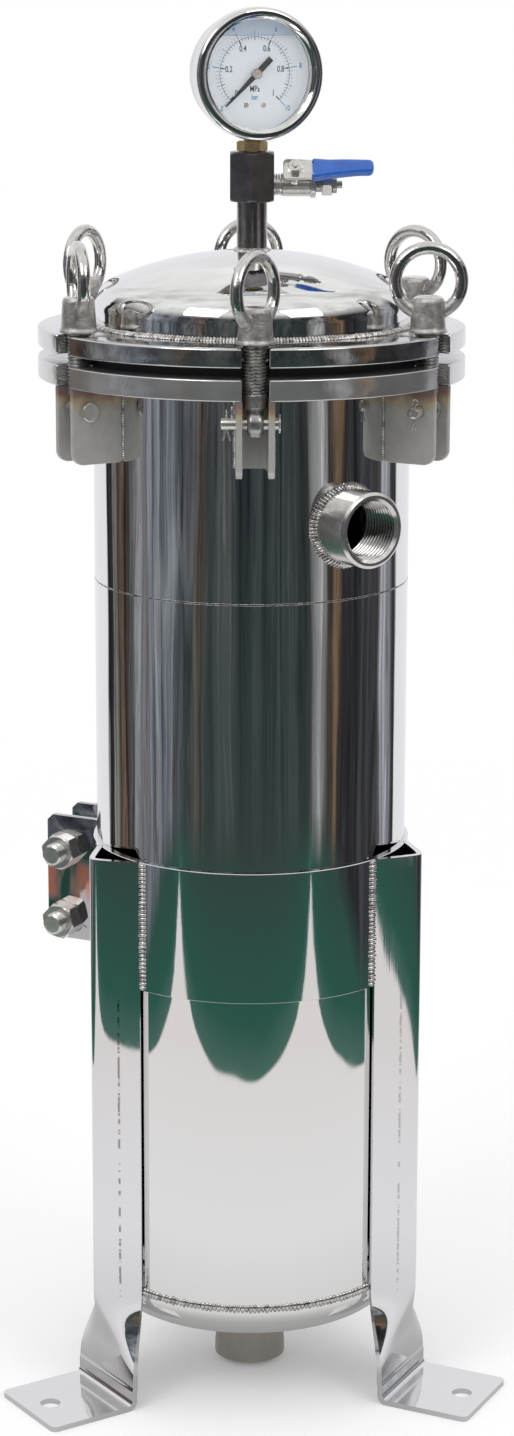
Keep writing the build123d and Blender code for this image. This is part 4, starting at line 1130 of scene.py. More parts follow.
def make_gauge_shell():
    """Pressed case with its rolled bezel, and the clear window."""
    profile = [(0, CASE_BACK)] + arc((CASE_RADIUS - 3 * MM, CASE_BACK + 3 * MM), 3 * MM, -90, 0, 10)
    profile += [(CASE_RADIUS, CASE_FRONT - 0.2 * MM), (CASE_RADIUS - 1.4 * MM, CASE_FRONT - 0.2 * MM),
                (CASE_RADIUS - 1.5 * MM, 3 * MM), (0, 3 * MM)]
    bm = lathe(bmesh.new(), profile, GAUGE_FACE, 160, closed=False)
    lathe(bm, [(0, CASE_BACK - 0.01 * MM), (6 * MM, CASE_BACK - 0.01 * MM)], GAUGE_FACE, 48, closed=False)
    piece("gauge_case_pressed", bm, BRIGHT, "lid", ["gauge_case"])

    front = 16 * MM
    crest = BEZEL_RADIUS - 2.4 * MM
    profile = [(CASE_RADIUS + 0.02 * MM, 5 * MM)]
    profile += arc((BEZEL_RADIUS - 1.2 * MM, 6.2 * MM), 1.2 * MM, -90, 0, 5)
    profile += arc((crest, front - 2.4 * MM), 2.4 * MM, 0, 90, 10)
    slope = [(crest - 1.2 * MM, front - 0.15 * MM), (WINDOW_RADIUS + 0.9 * MM, GLASS_FRONT + 1.1 * MM),
             (WINDOW_RADIUS + 0.2 * MM, GLASS_FRONT + 0.75 * MM), (WINDOW_RADIUS, GLASS_FRONT + 0.4 * MM),
             (WINDOW_RADIUS, GLASS_FRONT + 0.02 * MM), (CASE_RADIUS + 0.02 * MM, GLASS_FRONT + 0.02 * MM)]
    bm = lathe(bmesh.new(), profile + slope, GAUGE_FACE, 192)
    piece("bezel_rolled", bm, BRIGHT_RIM, "lid", ["gauge_bezel"], sharp=28)

    rim = CASE_RADIUS - 0.1 * MM
    profile = [(0, CASE_FRONT), (rim - 0.3 * MM, CASE_FRONT), (rim, CASE_FRONT + 0.3 * MM),
               (rim, GLASS_FRONT - 0.3 * MM), (rim - 0.3 * MM, GLASS_FRONT), (0, GLASS_FRONT)]
    bm = lathe(bmesh.new(), profile, GAUGE_FACE, 128, closed=False)
    piece("window_pane", bm, GLASS, "lid", ["gauge_glass"])


def tree_with(name, inputs, carried=False):
    """A geometry node tree with named inputs: the tree, its net, its input sockets and identifiers."""
    tree = bpy.data.node_groups.new(name, "GeometryNodeTree")
    for direction in ["INPUT"] * carried + ["OUTPUT"]:
        tree.interface.new_socket("Geometry", in_out=direction, socket_type="NodeSocketGeometry")
    identifiers = {}
    for label, value in inputs.items():
        kind = "NodeSocketInt" if isinstance(value, int) else "NodeSocketFloat"
        socket = tree.interface.new_socket(label, in_out="INPUT", socket_type=kind)
        socket.default_value = value
        identifiers[label] = socket.identifier
    net = Net(tree)
    return tree, net, net.nodes.new("NodeGroupInput").outputs, identifiers


def end_tree(net, copies, material):
    """Real instances, painted, to the tree's output."""
    real = net.add("GeometryNodeRealizeInstances", copies.outputs[0])
    painted = net.add("GeometryNodeSetMaterial", real.outputs[0], Material=material)
    net.add("NodeGroupOutput", painted.outputs[0])


def tick_tree(material):
    """Nodes that lay flat marks round an arc: count, angles, radius and size are its inputs."""
    tree, net, given, identifiers = tree_with("dial_marks", {
        "Count": 11, "Start": 0.0, "Sweep": 1.0, "Radius": 0.02, "Length": 0.002, "Width": 0.0003,
        "Height": 0.0001})
    line = net.add("GeometryNodeMeshLine", Count=given["Count"], Offset=(0, 0, 0))
    index = net.nodes.new("GeometryNodeInputIndex").outputs[0]
    share = net.math("DIVIDE", index, net.minus(given["Count"], 1.0))
    angle = net.plus(given["Start"], net.times(share, given["Sweep"]))
    place = net.add("ShaderNodeCombineXYZ", net.times(net.math("COSINE", angle), given["Radius"]),
                    net.times(net.math("SINE", angle), given["Radius"]), given["Height"])
    moved = net.add("GeometryNodeSetPosition", Geometry=line.outputs["Mesh"], Position=place.outputs[0])
    size = net.add("ShaderNodeCombineXYZ", given["Length"], given["Width"], 0.06 * MM)
    mark = net.add("GeometryNodeMeshCube", Size=size.outputs[0])
    turn = net.add("ShaderNodeCombineXYZ", Z=angle)
    copies = net.add("GeometryNodeInstanceOnPoints", Points=moved.outputs[0],
                     Instance=mark.outputs["Mesh"], Rotation=turn.outputs[0])
    end_tree(net, copies, material)
    return tree, identifiers


def grow(name, tree, identifiers, values, carrier=None):
    """Evaluate a node tree with its inputs set and return a plain mesh."""
    host = linked(name, carrier or bpy.data.meshes.new(name))
    modifier = host.modifiers.new("grown", "NODES")
    modifier.node_group = tree
    for label, value in values.items():
        modifier[identifiers[label]] = value
    return used_up(host)


LETTER_RAISED, LETTER_BOLD, LETTER_NARROW = 0.03 * MM, 0.012, 0.72


def text_mesh(words, size, place):
    """Flat lettering made into a mesh, centred on its place."""
    writing = bpy.data.curves.new("writing", "FONT")
    writing.body = words
    writing.size = size
    writing.align_x = "CENTER"
    writing.align_y = "CENTER"
    writing.extrude = LETTER_RAISED
    writing.offset = LETTER_BOLD * size
    mesh = used_up(linked("writing", writing))
    mesh.transform(place @ Matrix.Diagonal((LETTER_NARROW, 1, 1, 1)))
    return mesh


def joined(name, meshes, material, body):
    """One piece from several plain meshes."""
    bm = bmesh.new()
    for mesh in meshes:
        bm.from_mesh(mesh)
        bpy.data.meshes.remove(mesh)
    for face in bm.faces:
        face.material_index = 0
    return piece(name, bm, material, body, ())


def dial_place(angle, radius):
    """A place on the dial, a hair above its card."""
    return GAUGE_FACE @ Matrix.Translation((radius * cos(angle), radius * sin(angle), DIAL_FACE + 0.05 * MM))


MARKS_ABOVE_DIAL = 0.03 * MM
RAIL_INNER, RAIL_OUTER = 18.8 * MM, 19.02 * MM
# Each scale: ticks as (count, radius, length, width), numbers with size and radius, unit with size and
# drop below the hub, all in millimetres.
BLACK_SCALE = ([(51, 18.2, 1.3, 0.22), (11, 17.9, 1.9, 0.36), (6, 17.6, 2.4, 0.62)],
               ["0", "0.2", "0.4", "0.6", "0.8", "1"], 4.4, 14.2, "MPa", 4.4, 7.8)
BLUE_SCALE = ([(51, 20.2, 1.3, 0.22), (11, 20.6, 2.1, 0.34), (6, 21.3, 3.6, 0.40)],
              ["0", "2", "4", "6", "8", "10"], 3.8, 25.2, "bar", 3.9, 12.0)


def scale_meshes(scale, material, extra=()):
    """The ticks, numbers and unit of one scale."""
    ticks, numbers, size, radius, unit, unit_size, unit_drop = scale
    tree, identifiers = tick_tree(material)
    meshes = []
    for count, reach, length, width in ticks:
        meshes.append(grow("marks", tree, identifiers, {
            "Count": count, "Start": SWEEP_START, "Sweep": SWEEP, "Radius": reach * MM,
            "Length": length * MM, "Width": width * MM, "Height": DIAL_FACE + MARKS_ABOVE_DIAL}))
        meshes[-1].transform(GAUGE_FACE)
    meshes += extra
    for k, words in enumerate(numbers):
        angle = SWEEP_START + SWEEP * k / (len(numbers) - 1)
        meshes.append(text_mesh(words, size * MM, dial_place(angle, radius * MM)))
    meshes.append(text_mesh(unit, unit_size * MM, dial_place(radians(-90), unit_drop * MM)))
    return meshes


def make_dial():
    """White dial with an inner black scale and an outer blue one, and its screws."""
    radius, bore = 29.3 * MM, 1.1 * MM
    profile = [(bore, 3 * MM), (radius, 3 * MM), (radius, DIAL_FACE - 0.1 * MM),
               (radius - 0.1 * MM, DIAL_FACE), (bore, DIAL_FACE)]
    bm = lathe(bmesh.new(), profile, GAUGE_FACE, 128)
    piece("dial_plate", bm, DIAL, "lid", ["gauge_dial"])

    lift = DIAL_FACE + MARKS_ABOVE_DIAL
    rail = lathe(bmesh.new(), [(RAIL_INNER, lift), (RAIL_OUTER, lift), (RAIL_OUTER, lift + MARKS_ABOVE_DIAL),
                               (RAIL_INNER, lift + MARKS_ABOVE_DIAL)], GAUGE_FACE, 160,
                 keep=lambda angle, height: not 225 < degrees(angle) < 315)
    joined("dial_black_scale", scale_meshes(BLACK_SCALE, INK, [mesh_of(rail, "rail")]), INK, "lid")
    joined("dial_blue_scale", scale_meshes(BLUE_SCALE, BLUE_INK), BLUE_INK, "lid")

    bm = bmesh.new()
    for side in (-1, 1):
        place = GAUGE_FACE @ Matrix.Translation((side * 4.7 * MM, -16.0 * MM, DIAL_FACE))
        profile = [(1.25 * MM, 0), (1.25 * MM, 0.35 * MM), (0.9 * MM, 0.65 * MM), (0, 0.75 * MM)]
        lathe(bm, profile, place, 24, closed=False)
    piece("dial_screws", bm, HUB, "lid", ())


def make_pointer():
    """A tapered needle with a square tail and a turned hub."""
    place = GAUGE_FACE @ Matrix.Rotation(radians(135), 4, "Z") @ Matrix.Translation((0, 0, 7 * MM))
    outline = [(-0.35 * MM, 23.5 * MM), (-1.55 * MM, 0), (-1.6 * MM, -1 * MM), (-1.6 * MM, -11 * MM),
               (1.6 * MM, -11 * MM), (1.6 * MM, -1 * MM), (1.55 * MM, 0), (0.35 * MM, 23.5 * MM)]
    bm = bmesh.new()
    add_plate(bm, [outline], 0.7 * MM, place, 0.1 * MM, 1)
    piece("needle_blade", bm, NEEDLE, "pointer", ["gauge_pointer"])
    hub = place @ Matrix.Translation((0, 0, -0.8 * MM))
    profile = [(1.0 * MM, -3 * MM), (1.0 * MM, 0), (2.7 * MM, 0), (2.7 * MM, 1.9 * MM), (2.3 * MM, 2.3 * MM),
               (0.9 * MM, 2.4 * MM), (0.75 * MM, 2.2 * MM), (0, 2.2 * MM)]
    bm = lathe(bmesh.new(), profile, hub, 48, closed=False)
    piece("needle_hub", bm, HUB, "pointer", ())


# ---- vent valve -----------------------------------------------------------------------
VALVE_Z = joints["vent_turn"]["pos_m"][2]
STEM_X = joints["vent_turn"]["pos_m"][0]


def along_run(x):
    return Matrix.Translation((x, 0, VALVE_Z)) @ SIDEWAYS


def stem_place():
    axis = Vector(joints["vent_turn"]["axis"])
    outwards = -axis if axis.y > 0 else axis
    lean = atan2(-outwards.y, outwards.z)
    return Matrix.Translation((STEM_X, 0, VALVE_Z)) @ Matrix.Rotation(lean, 4, "X")


def make_valve():
    """The vent's ball valve body with its collar and stem boss, and the fitting on its outlet."""
    start, length = 15.5 * MM, 17.8 * MM
    run = along_run(0)
    body = 6.2 * MM
    end = start + length
    bore = 2.5 * MM
    profile = [(bore, start), (body - 0.6 * MM, start), (body, start + 0.5 * MM),
               (body, end - 3.4 * MM), (body + 0.1 * MM, end - 3.1 * MM), (6.6 * MM, end - 3.0 * MM),
               (7.0 * MM, end - 2.6 * MM), (7.0 * MM, end - 0.5 * MM), (6.5 * MM, end), (bore, end)]
    bm = lathe(bmesh.new(), profile, run, 72)
    lift = stem_place()
    boss = [(1.75 * MM, 4.6 * MM), (1.75 * MM, 9.5 * MM), (2.9 * MM, 9.5 * MM), (3.4 * MM, 9.1 * MM),
            (3.4 * MM, 6.6 * MM), (3.9 * MM, 5.2 * MM)]
    lathe(bm, boss, lift, 48, closed=False)
    piece("valve_barrel", bm, BRIGHT, "lid", ["vent_valve_body"])

    nipple_start = 23 / 2 * MM - 0.05 * MM
    thread_bm = bmesh.new()
    thread(thread_bm, run, 5.75 * MM, nipple_start, start, 1.3 * MM, 0.6 * MM, rows=6)
    piece("nipple_thread", thread_bm, BRIGHT, "lid", ["vent_nipple"], sharp=38)

    bm = bmesh.new()
    x = end
    profile = [(1.0 * MM, x), (4.2 * MM, x), (4.0 * MM, x + 0.6 * MM), (4.0 * MM, x + 2.7 * MM),
               (4.2 * MM, x + 3.3 * MM)]
    lathe(bm, profile, run, 48, closed=False)
    x += 3.3 * MM
    hex_prism(bm, 11 * MM, x, x + 5.2 * MM, run @ Matrix.Rotation(pi / 6, 4, "Z"))
    x += 5.2 * MM
    profile = [(4.2 * MM, x), (4.6 * MM, x + 0.4 * MM), (4.6 * MM, x + 2.2 * MM), (4.2 * MM, x + 2.6 * MM),
               (2.0 * MM, x + 2.6 * MM), (2.0 * MM, x + 5.1 * MM), (1.7 * MM, x + 5.4 * MM),
               (1.0 * MM, x + 5.4 * MM), (1.0 * MM, x - 3 * MM)]
    lathe(bm, profile, run, 48, closed=False)
    piece("outlet_fitting", bm, FITTING, "lid", ["vent_outlet_fitting"], sharp=26)


def grip_width(t):
    """Half width of the sleeve along its length, from the lever's plate to its rounded end."""
    half = 6.3 - 1.2 * ease(t / 0.35) - 1.0 * ease((t - 0.3) / 0.6)
    if t > 0.90:
        half *= sqrt(max(0.0, 1 - ((t - 0.90) / 0.10) ** 2)) * 0.65 + 0.35
    return half * MM


def make_lever():
    """Lever plate, its nut and stem, and the soft blue sleeve pulled over the lever."""
    lift = stem_place()
    half = 6.5 * MM
    tang = 3.64 * MM
    outline = rounded([(-6.2 * MM, -half, 2.2 * MM), (9 * MM, -half * 0.9, 0.5 * MM), (9 * MM, -tang, 0),
                       (20 * MM, -tang, 0), (20 * MM, tang, 0), (9 * MM, tang, 0),
                       (9 * MM, half * 0.9, 0.5 * MM), (-6.2 * MM, half, 2.2 * MM)], 5)
    bm = bmesh.new()
    place = lift @ Matrix.Translation((0, 0, 12 * MM))
    add_plate(bm, [outline, circle(1.72 * MM, 24)], 1.6 * MM, place, 0.35 * MM, 2)
    piece("lever_plate", bm, BRIGHT, "vent_handle", ["vent_lever"])

    bm = bmesh.new()
    hex_prism(bm, 7 * MM, 13.6 * MM, 16.8 * MM, lift)
    piece("lever_hex_nut", bm, BRIGHT, "vent_handle", ["lever_nut"], sharp=24)
    profile = [(0, 3.2 * MM), (1.7 * MM, 3.2 * MM), (1.7 * MM, 17.2 * MM), (1.4 * MM, 17.6 * MM),
               (0, 17.6 * MM)]
    bm = lathe(bmesh.new(), profile, lift, 32, closed=False)
    piece("valve_stem_rod", bm, BRIGHT, "vent_handle", ["vent_stem"])

    start, length = 9 * MM, 32 * MM
    thick = 3.1 * MM
    bm = bmesh.new()
    rings = []
    steps = 64
    for k in range(steps + 1):
        t = k / steps
        wide = grip_width(t)
        high_part = thick * (1.0 if t < 0.93 else sqrt(max(0.0, 1 - ((t - 0.93) / 0.07) ** 2)) * 0.6 + 0.4)
        if t < 0.03:
            wide *= 0.94 + 0.06 * t / 0.03
            high_part *= 0.90 + 0.10 * t / 0.03
        ring = []
        for i in range(48):
            angle = 2 * pi * i / 48
            c, s = cos(angle), sin(angle)
            y = wide * (abs(c) ** 0.55) * (1 if c > 0 else -1)
            z = high_part * (abs(s) ** 0.7) * (1 if s > 0 else -1)
            raised = 1.3 * MM * ease(t / 0.8)
            ring.append(bm.verts.new(lift @ Vector((start + length * t, y + raised, z + 12.8 * MM))))
        rings.append(ring)
    bridge(bm, rings)
    bm.faces.new(rings[0][::-1])
    bm.faces.new(rings[-1])
    piece("vinyl_sleeve", bm, GRIP, "vent_handle", ["lever_grip"], sharp=55)


# ---- inside: seat, basket, bag --------------------------------------------------------
def repaint(node, material):
    """Give a CAD node that stays a better material."""
    carried = frame["nodes"][node]
    if not carried.material_slots:
        carried.data.materials.append(material)
    for slot in carried.material_slots:
        slot.material = material


def make_inside():
    for node, material in (("bag_seat_ring", SATIN), ("lid_gasket", RUBBER), ("basket", BASKET),
                           ("basket_handle", BRIGHT), ("bag_collar", COLLAR), ("vent_ball", BRIGHT)):
        repaint(node, material)


def make_bag():
    """The felt bag: a sewn tube that bellies a little between the basket's holes, with a dished floor."""
    lowest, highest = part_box("filter_bag")
    radius = highest.x - 0.3 * MM
    wall = 1.8 * MM
    rows, columns = 150, 128
    bend = 12 * MM
    bm = bmesh.new()
    grid = []
    height = highest.z - lowest.z - 1.0 * MM
    floor_rings = 14
    angles = [2 * pi * i / columns for i in range(columns)]
    for k in range(rows + 1):
        along = k / rows
        z = highest.z - 0.5 * MM - (height - bend) * along
        ring = []
        for angle in angles:
            sag = 0.5 * sin(angle * 5 + along * 9) * sin(along * 21) + 0.35 * sin(angle * 3 + 1.3)
            sag *= ease(along / 0.08)
            ring.append(bm.verts.new(turned(radius - 0.55 * MM * (0.5 + 0.5 * sag), z, angle)))
        grid.append(ring)
    base_z = highest.z - 0.5 * MM - (height - bend)
    for k in range(1, floor_rings + 1):
        angle_down = pi / 2 * min(1.0, k / 7)
        inward = bend * (1 - cos(angle_down))
        if k > 7:
            inward = bend + (radius - bend) * (k - 7) / (floor_rings - 6)
        z = base_z - (bend - wall) * sin(angle_down) if k <= 7 else base_z - (bend - wall)
        dish = 0.6 * MM * (inward / radius) * (1 - inward / radius)
        reach, level = radius - 0.4 * MM - inward, z + wall * 0.2
        grid.append([bm.verts.new(turned(reach, level + dish * sin(angle * 4), angle)) for angle in angles])
    tip = bm.verts.new((0, 0, base_z - (bend - wall) + wall * 0.2))
    bridge(bm, grid)
    for i in range(columns):
        bm.faces.new((grid[-1][i], grid[-1][(i + 1) % columns], tip))
    made = piece("felt_bag", bm, FELT, "vessel", ["filter_bag"], sharp=60)
    thickness = made.modifiers.new("felt", "SOLIDIFY")
    thickness.thickness = wall * 0.85
    thickness.offset = -1


# ---- welds ----------------------------------------------------------------------------
def weld_tree():
    """Nodes that lay overlapping ripples along a path; the path carries its outward direction."""
    tree, net, given, identifiers = tree_with("weld_ripples", {
        "Pitch": 0.0014, "Length": 0.0026, "Width": 0.005, "Rise": 0.001, "Unevenness": 0.18}, carried=True)
    path = net.add("GeometryNodeMeshToCurve", Mesh=given["Geometry"])
    spaced = net.nodes.new("GeometryNodeResampleCurve")
    spaced.mode = "LENGTH"
    net.put(spaced.inputs["Curve"], path.outputs[0])
    net.put(spaced.inputs["Length"], given["Pitch"])
    outward = net.nodes.new("GeometryNodeInputNamedAttribute")
    outward.data_type = "FLOAT_VECTOR"
    outward.inputs["Name"].default_value = "outward"
    along = net.add("FunctionNodeAlignRotationToVector",
                    Vector=net.nodes.new("GeometryNodeInputTangent").outputs[0])
    along.axis = "X"
    upright = net.add("FunctionNodeAlignRotationToVector", Rotation=along.outputs["Rotation"],
                      Vector=outward.outputs["Attribute"])
    upright.axis = "Z"
    upright.pivot_axis = "X"
    size = net.add("ShaderNodeCombineXYZ", given["Length"], given["Width"], given["Rise"])
    chance = net.add("FunctionNodeRandomValue", Seed=7)
    chance.data_type = "FLOAT"
    smallest, largest = [socket for socket in chance.inputs if socket.type == "VALUE"][:2]
    net.put(smallest, net.minus(1.0, given["Unevenness"]))
    net.put(largest, net.plus(1.0, given["Unevenness"]))
    share = [socket for socket in chance.outputs if socket.type == "VALUE"][0]
    varied = net.nodes.new("ShaderNodeVectorMath")
    varied.operation = "SCALE"
    net.put(varied.inputs[0], size.outputs[0])
    net.put(varied.inputs["Scale"], share)
    ripple = net.add("GeometryNodeMeshUVSphere", Segments=12, Rings=8, Radius=0.5)
    smooth = net.add("GeometryNodeSetShadeSmooth", Geometry=ripple.outputs["Mesh"])
    copies = net.add("GeometryNodeInstanceOnPoints", Points=spaced.outputs[0], Instance=smooth.outputs[0],
                     Rotation=upright.outputs["Rotation"], Scale=varied.outputs[0])
    end_tree(net, copies, WELD)
    return tree, identifiers


def path_mesh(paths):
    """Edges along (point, outward) lists, each closed where its last point repeats its first."""
    bm = bmesh.new()
    outward = bm.verts.layers.float_vector.new("outward")
    for path in paths:
        loop = (path[0][0] - path[-1][0]).length < 1e-9
        verts = []
        for point, direction in path[:-1] if loop else path:
            vert = bm.verts.new(point)
            vert[outward] = direction
            verts.append(vert)
        for first, second in zip(verts, verts[1:]):
            bm.edges.new((first, second))
        if loop:
            bm.edges.new((verts[-1], verts[0]))
    return mesh_of(bm, "path")


def ring_path(radius, height, slope=0.0, steps=240):
    """A level ring about the axis; the slope leans its outward direction upwards, in degrees."""
    path = []
    for i in range(steps + 1):
        angle = 2 * pi * (i % steps) / steps
        flat = Vector((cos(angle), sin(angle), 0))
        lean = flat * cos(radians(slope)) + Vector((0, 0, sin(radians(slope))))
        path.append((flat * radius + Vector((0, 0, height)), lean))
    return path


def inlet_path():
    """The seam where the coupling's round wall meets the shell."""
    path = []
    place = Matrix.Rotation(INLET_AZIMUTH, 3, "Z")
    reach = PORT_RADIUS + 0.6 * MM
    for i in range(121):
        angle = 2 * pi * (i % 120) / 120
        x, z = reach * cos(angle), reach * sin(angle)
        surface = sqrt((SHELL_RADIUS + 0.3 * MM) ** 2 - x * x)
        out = Vector((cos(angle) * 0.8, -0.75, sin(angle) * 0.8)).normalized()
        path.append((place @ Vector((x, -surface, 0)) + Vector((0, 0, INLET_Z + z)), place @ out))
    return path


def post_path(azimuth, x, radius, bottom, top):
    """An upright seam at a station, its outward direction leaning away from the piece it joins."""
    place = Matrix.Rotation(azimuth, 3, "Z")
    out = place @ Vector((0.6 if x > 0 else -0.6, -1.0, 0)).normalized()
    return [(place @ Vector((x, -radius, bottom + (top - bottom) * k / 2)), out) for k in range(3)]


def make_welds():
    """Ripples along every seam; each row gives width, rise, pitch and length in millimetres."""
    tree, identifiers = weld_tree()
    crown = BOTTOM_SEAM - 3 * MM - (CROWN_RADIUS - sqrt((CROWN_RADIUS - KNUCKLE_RADIUS) ** 2
                                                        - (SHELL_RADIUS - KNUCKLE_RADIUS) ** 2))
    sides = (-1, 1)
    posts = [post_path(azimuth, side * (LEG_HALF + 0.5 * MM), LEG_EDGE - 0.2 * MM, BAND_LOW + 2 * MM,
                       BAND_HIGH - 1.5 * MM) for azimuth in LEG_AZIMUTHS.values() for side in sides]
    ears = [post_path(EAR_AZIMUTH, side * (EAR_FACE + 0.4 * MM), BAND_RADIUS - 0.9 * MM, BAND_LOW + 3 * MM,
                      BAND_HIGH - 3 * MM) for side in sides]
    lugs = [post_path(azimuth, side * (LUG_HALF + 0.3 * MM), SHELL_RADIUS - 0.6 * MM, LUG_LOW + 3 * MM,
                      FLANGE_LOW - 2 * MM) for azimuth in BOLT_AZIMUTHS.values() for side in sides]
    seat = ring_path(SHELL_RADIUS - 0.12 * MM, SEAT_SEAM)
    bottom = ring_path(SHELL_RADIUS - 0.1 * MM, BOTTOM_SEAM)
    dome_foot = ring_path(SHELL_RADIUS + 0.9 * MM, LID_HIGH + 0.5 * MM, 45)
    riser = ring_path(RISER_RADIUS + 0.5 * MM, high("lid_dome") + 0.1 * MM, 45, 60)
    flange = ring_path(SHELL_RADIUS + 0.5 * MM, FLANGE_LOW - 0.3 * MM, -45)
    outlet = ring_path(PORT_RADIUS + 0.6 * MM, crown + 0.6 * MM, -45, 90)
    for name, paths, body, width, rise, pitch, length in (
            ("dome_foot_weld", [dome_foot], "lid", 4.2, 2.4, 1.7, 2.0),
            ("riser_weld", [riser], "lid", 3.6, 2.2, 1.1, 2.0),
            ("seat_seam_weld", [seat], "vessel", 1.3, 0.45, 0.9, 1.4),
            ("bottom_seam_weld", [bottom], "vessel", 5.0, 2.6, 2.2, 2.4),
            ("flange_weld", [flange], "vessel", 4.0, 2.2, 1.3, 2.4),
            ("inlet_weld", [inlet_path()], "vessel", 6.6, 3.6, 1.9, 2.4),
            ("outlet_weld", [outlet], "vessel", 4.6, 2.6, 1.3, 2.4),
            ("leg_column_welds", posts, "vessel", 5.8, 3.4, 2.2, 2.6),
            ("ear_welds", ears, "vessel", 3.4, 2.0, 1.3, 2.4),
            ("lug_welds", lugs, "vessel", 2.8, 1.6, 1.2, 2.0)):
        mesh = grow(name, tree, identifiers, {
            "Pitch": pitch * MM, "Length": length * MM, "Width": width * MM, "Rise": rise * MM,
            "Unevenness": 0.12}, path_mesh(paths))
        settle(linked(name, mesh), body, ())


# ---- floor, light and camera ----------------------------------------------------------
# The room that the steel mirrors, as azimuth in degrees from the front and colour.
ROOM_STREAKS = [
    (-180, (0.88, 0.88, 0.92)), (-131, (0.90, 0.90, 0.93)), (-130, (0.020, 0.020, 0.022)),
    (-122, (0.024, 0.024, 0.025)), (-121, (0.30, 0.30, 0.29)), (-114, (0.22, 0.21, 0.19)),
    (-112, (0.060, 0.052, 0.045)), (-105, (0.105, 0.072, 0.056)), (-100, (0.050, 0.046, 0.044)),
    (-90, (0.20, 0.205, 0.22)), (-84, (0.09, 0.09, 0.10)), (-78, (0.30, 0.32, 0.36)),
    (-68, (0.11, 0.12, 0.14)), (-58, (0.16, 0.175, 0.20)), (-56, (0.050, 0.056, 0.066)),
    (-46, (0.072, 0.080, 0.092)), (-38, (0.115, 0.085, 0.066)), (-33, (0.040, 0.045, 0.050)),
    (-24, (0.070, 0.078, 0.082)), (-14, (0.085, 0.092, 0.090)), (-12, (0.036, 0.040, 0.046)),
    (-4, (0.026, 0.030, 0.036)), (4, (0.040, 0.050, 0.052)), (12, (0.022, 0.026, 0.030)),
    (24, (0.048, 0.058, 0.058)), (34, (0.036, 0.042, 0.044)), (42, (0.028, 0.030, 0.032)),
    (46, (0.24, 0.24, 0.245)), (52, (0.32, 0.32, 0.33)), (56, (0.050, 0.050, 0.052)),
    (64, (0.15, 0.098, 0.060)), (68, (0.030, 0.030, 0.032)), (80, (0.024, 0.025, 0.028)),
    (92, (0.050, 0.052, 0.060)), (102, (0.030, 0.030, 0.034)), (108, (0.060, 0.060, 0.066)),
    (110, (0.34, 0.35, 0.38)), (120, (0.24, 0.25, 0.28)), (122, (0.055, 0.055, 0.060)),
    (130, (0.025, 0.025, 0.028)), (132, (0.88, 0.88, 0.92)), (180, (0.88, 0.88, 0.92))]
ROOM_SPLIT = 4


def make_world():
    """White paper to the eye; to the steel, a darker room in front with pale paper behind."""
    world = bpy.data.worlds.new("studio")
    bpy.context.scene.world = world
    world.use_nodes = True
    net = Net(world.node_tree)
    around = net.nodes.new("ShaderNodeTexCoord").outputs["Generated"]
    x, y, z = net.parts(around)
    wobble = net.grain(around, 3.2, 3.0, 0.55)
    shifted = net.plus(net.azimuth(x, y), net.spread(wobble, -0.09, 0.09, 0.3, 0.7))
    off_front = net.absolute(shifted)
    share = net.spread(shifted, 0, 1, -pi, pi)
    left = net.ramp(share, [((a + 180) / 360, c) for a, c in ROOM_STREAKS if a <= ROOM_SPLIT])
    right = net.ramp(share, [((a + 180) / 360, c) for a, c in ROOM_STREAKS if a >= ROOM_SPLIT])
    room = net.mixed(net.math("GREATER_THAN", share, (ROOM_SPLIT + 180) / 360), left, right)

    streak_place = net.add("ShaderNodeCombineXYZ", net.times(shifted, 7.0), net.times(z, 1.6))
    streaks = net.grain(streak_place.outputs[0], 1.7, 6.0, 0.78)
    fine = net.ramp(streaks, [(0.34, grey(0.28)), (0.43, grey(0.50)), (0.45, grey(0.95)), (0.53, grey(1.05)),
                              (0.55, grey(1.6)), (0.60, grey(1.9)), (0.62, (1.15, 0.95, 0.78)),
                              (0.72, (0.9, 0.62, 0.42))])
    room_dark = net.mixed(1.0, room, fine, "MULTIPLY")
    room = net.mixed(net.spread(off_front, 1, 0, radians(126), radians(131)), room, room_dark)

    wisp_turn = net.spread(shifted, -1, 1, radians(-84), radians(-40))
    wisp_height = net.spread(z, -1, 1, -0.235, -0.150)
    diagonal = net.minus(wisp_height, net.times(wisp_turn, 0.55))
    smoke = net.grain(around, 9.0, 5.0, 0.65)
    bent = net.plus(diagonal, net.spread(smoke, -0.55, 0.55, 0.3, 0.7))
    thin = net.spread(net.absolute(bent), 1, 0, 0.0, 0.42)
    near = net.spread(net.absolute(wisp_turn), 1, 0, 0.35, 1.0)
    room = net.mixed(net.times(thin, near, 0.5), room, (0.36, 0.385, 0.40))

    # the green cloth's far end, low in the middle
    lowness = net.spread(z, 1, 0, -0.26, -0.15)
    middle = net.spread(off_front, 1, 0, radians(24), radians(62))
    room = net.mixed(net.times(lowness, middle, 0.6), room, (0.042, 0.074, 0.067))

    overhead = net.ramp(net.grain(around, 3.0, 3.0, 0.6), [
        (0.3, grey(0.60)), (0.5, grey(0.88)), (0.7, grey(1.05))])
    room = net.mixed(net.spread(z, 0, 1, 0.28, 0.55), room, overhead)

    rays = net.nodes.new("ShaderNodeLightPath").outputs
    seen = net.mixed(rays["Is Glossy Ray"], grey(0.80), room)
    seen = net.mixed(rays["Is Camera Ray"], seen, grey(1.0))
    seen = net.mixed(rays["Is Transmission Ray"], seen, grey(1.0))
    background = net.nodes["Background"]
    net.put(background.inputs["Color"], seen)
    net.put(background.inputs["Strength"], 1.0)


# The floor that the steel mirrors: paper near the object, then green cloth, then the open room.
PAPER_EDGE, CLOTH_EDGE, ROOM_EDGE = 0.70, 1.16, 1.36
PAPER_LOBE, PEAK_RISE, SPIKE_RISE = 0.075, 0.235, 0.30
LOBE_PITCH, LOBE_TURN = radians(93), radians(-4)
PAPER_TURN = radians(129)


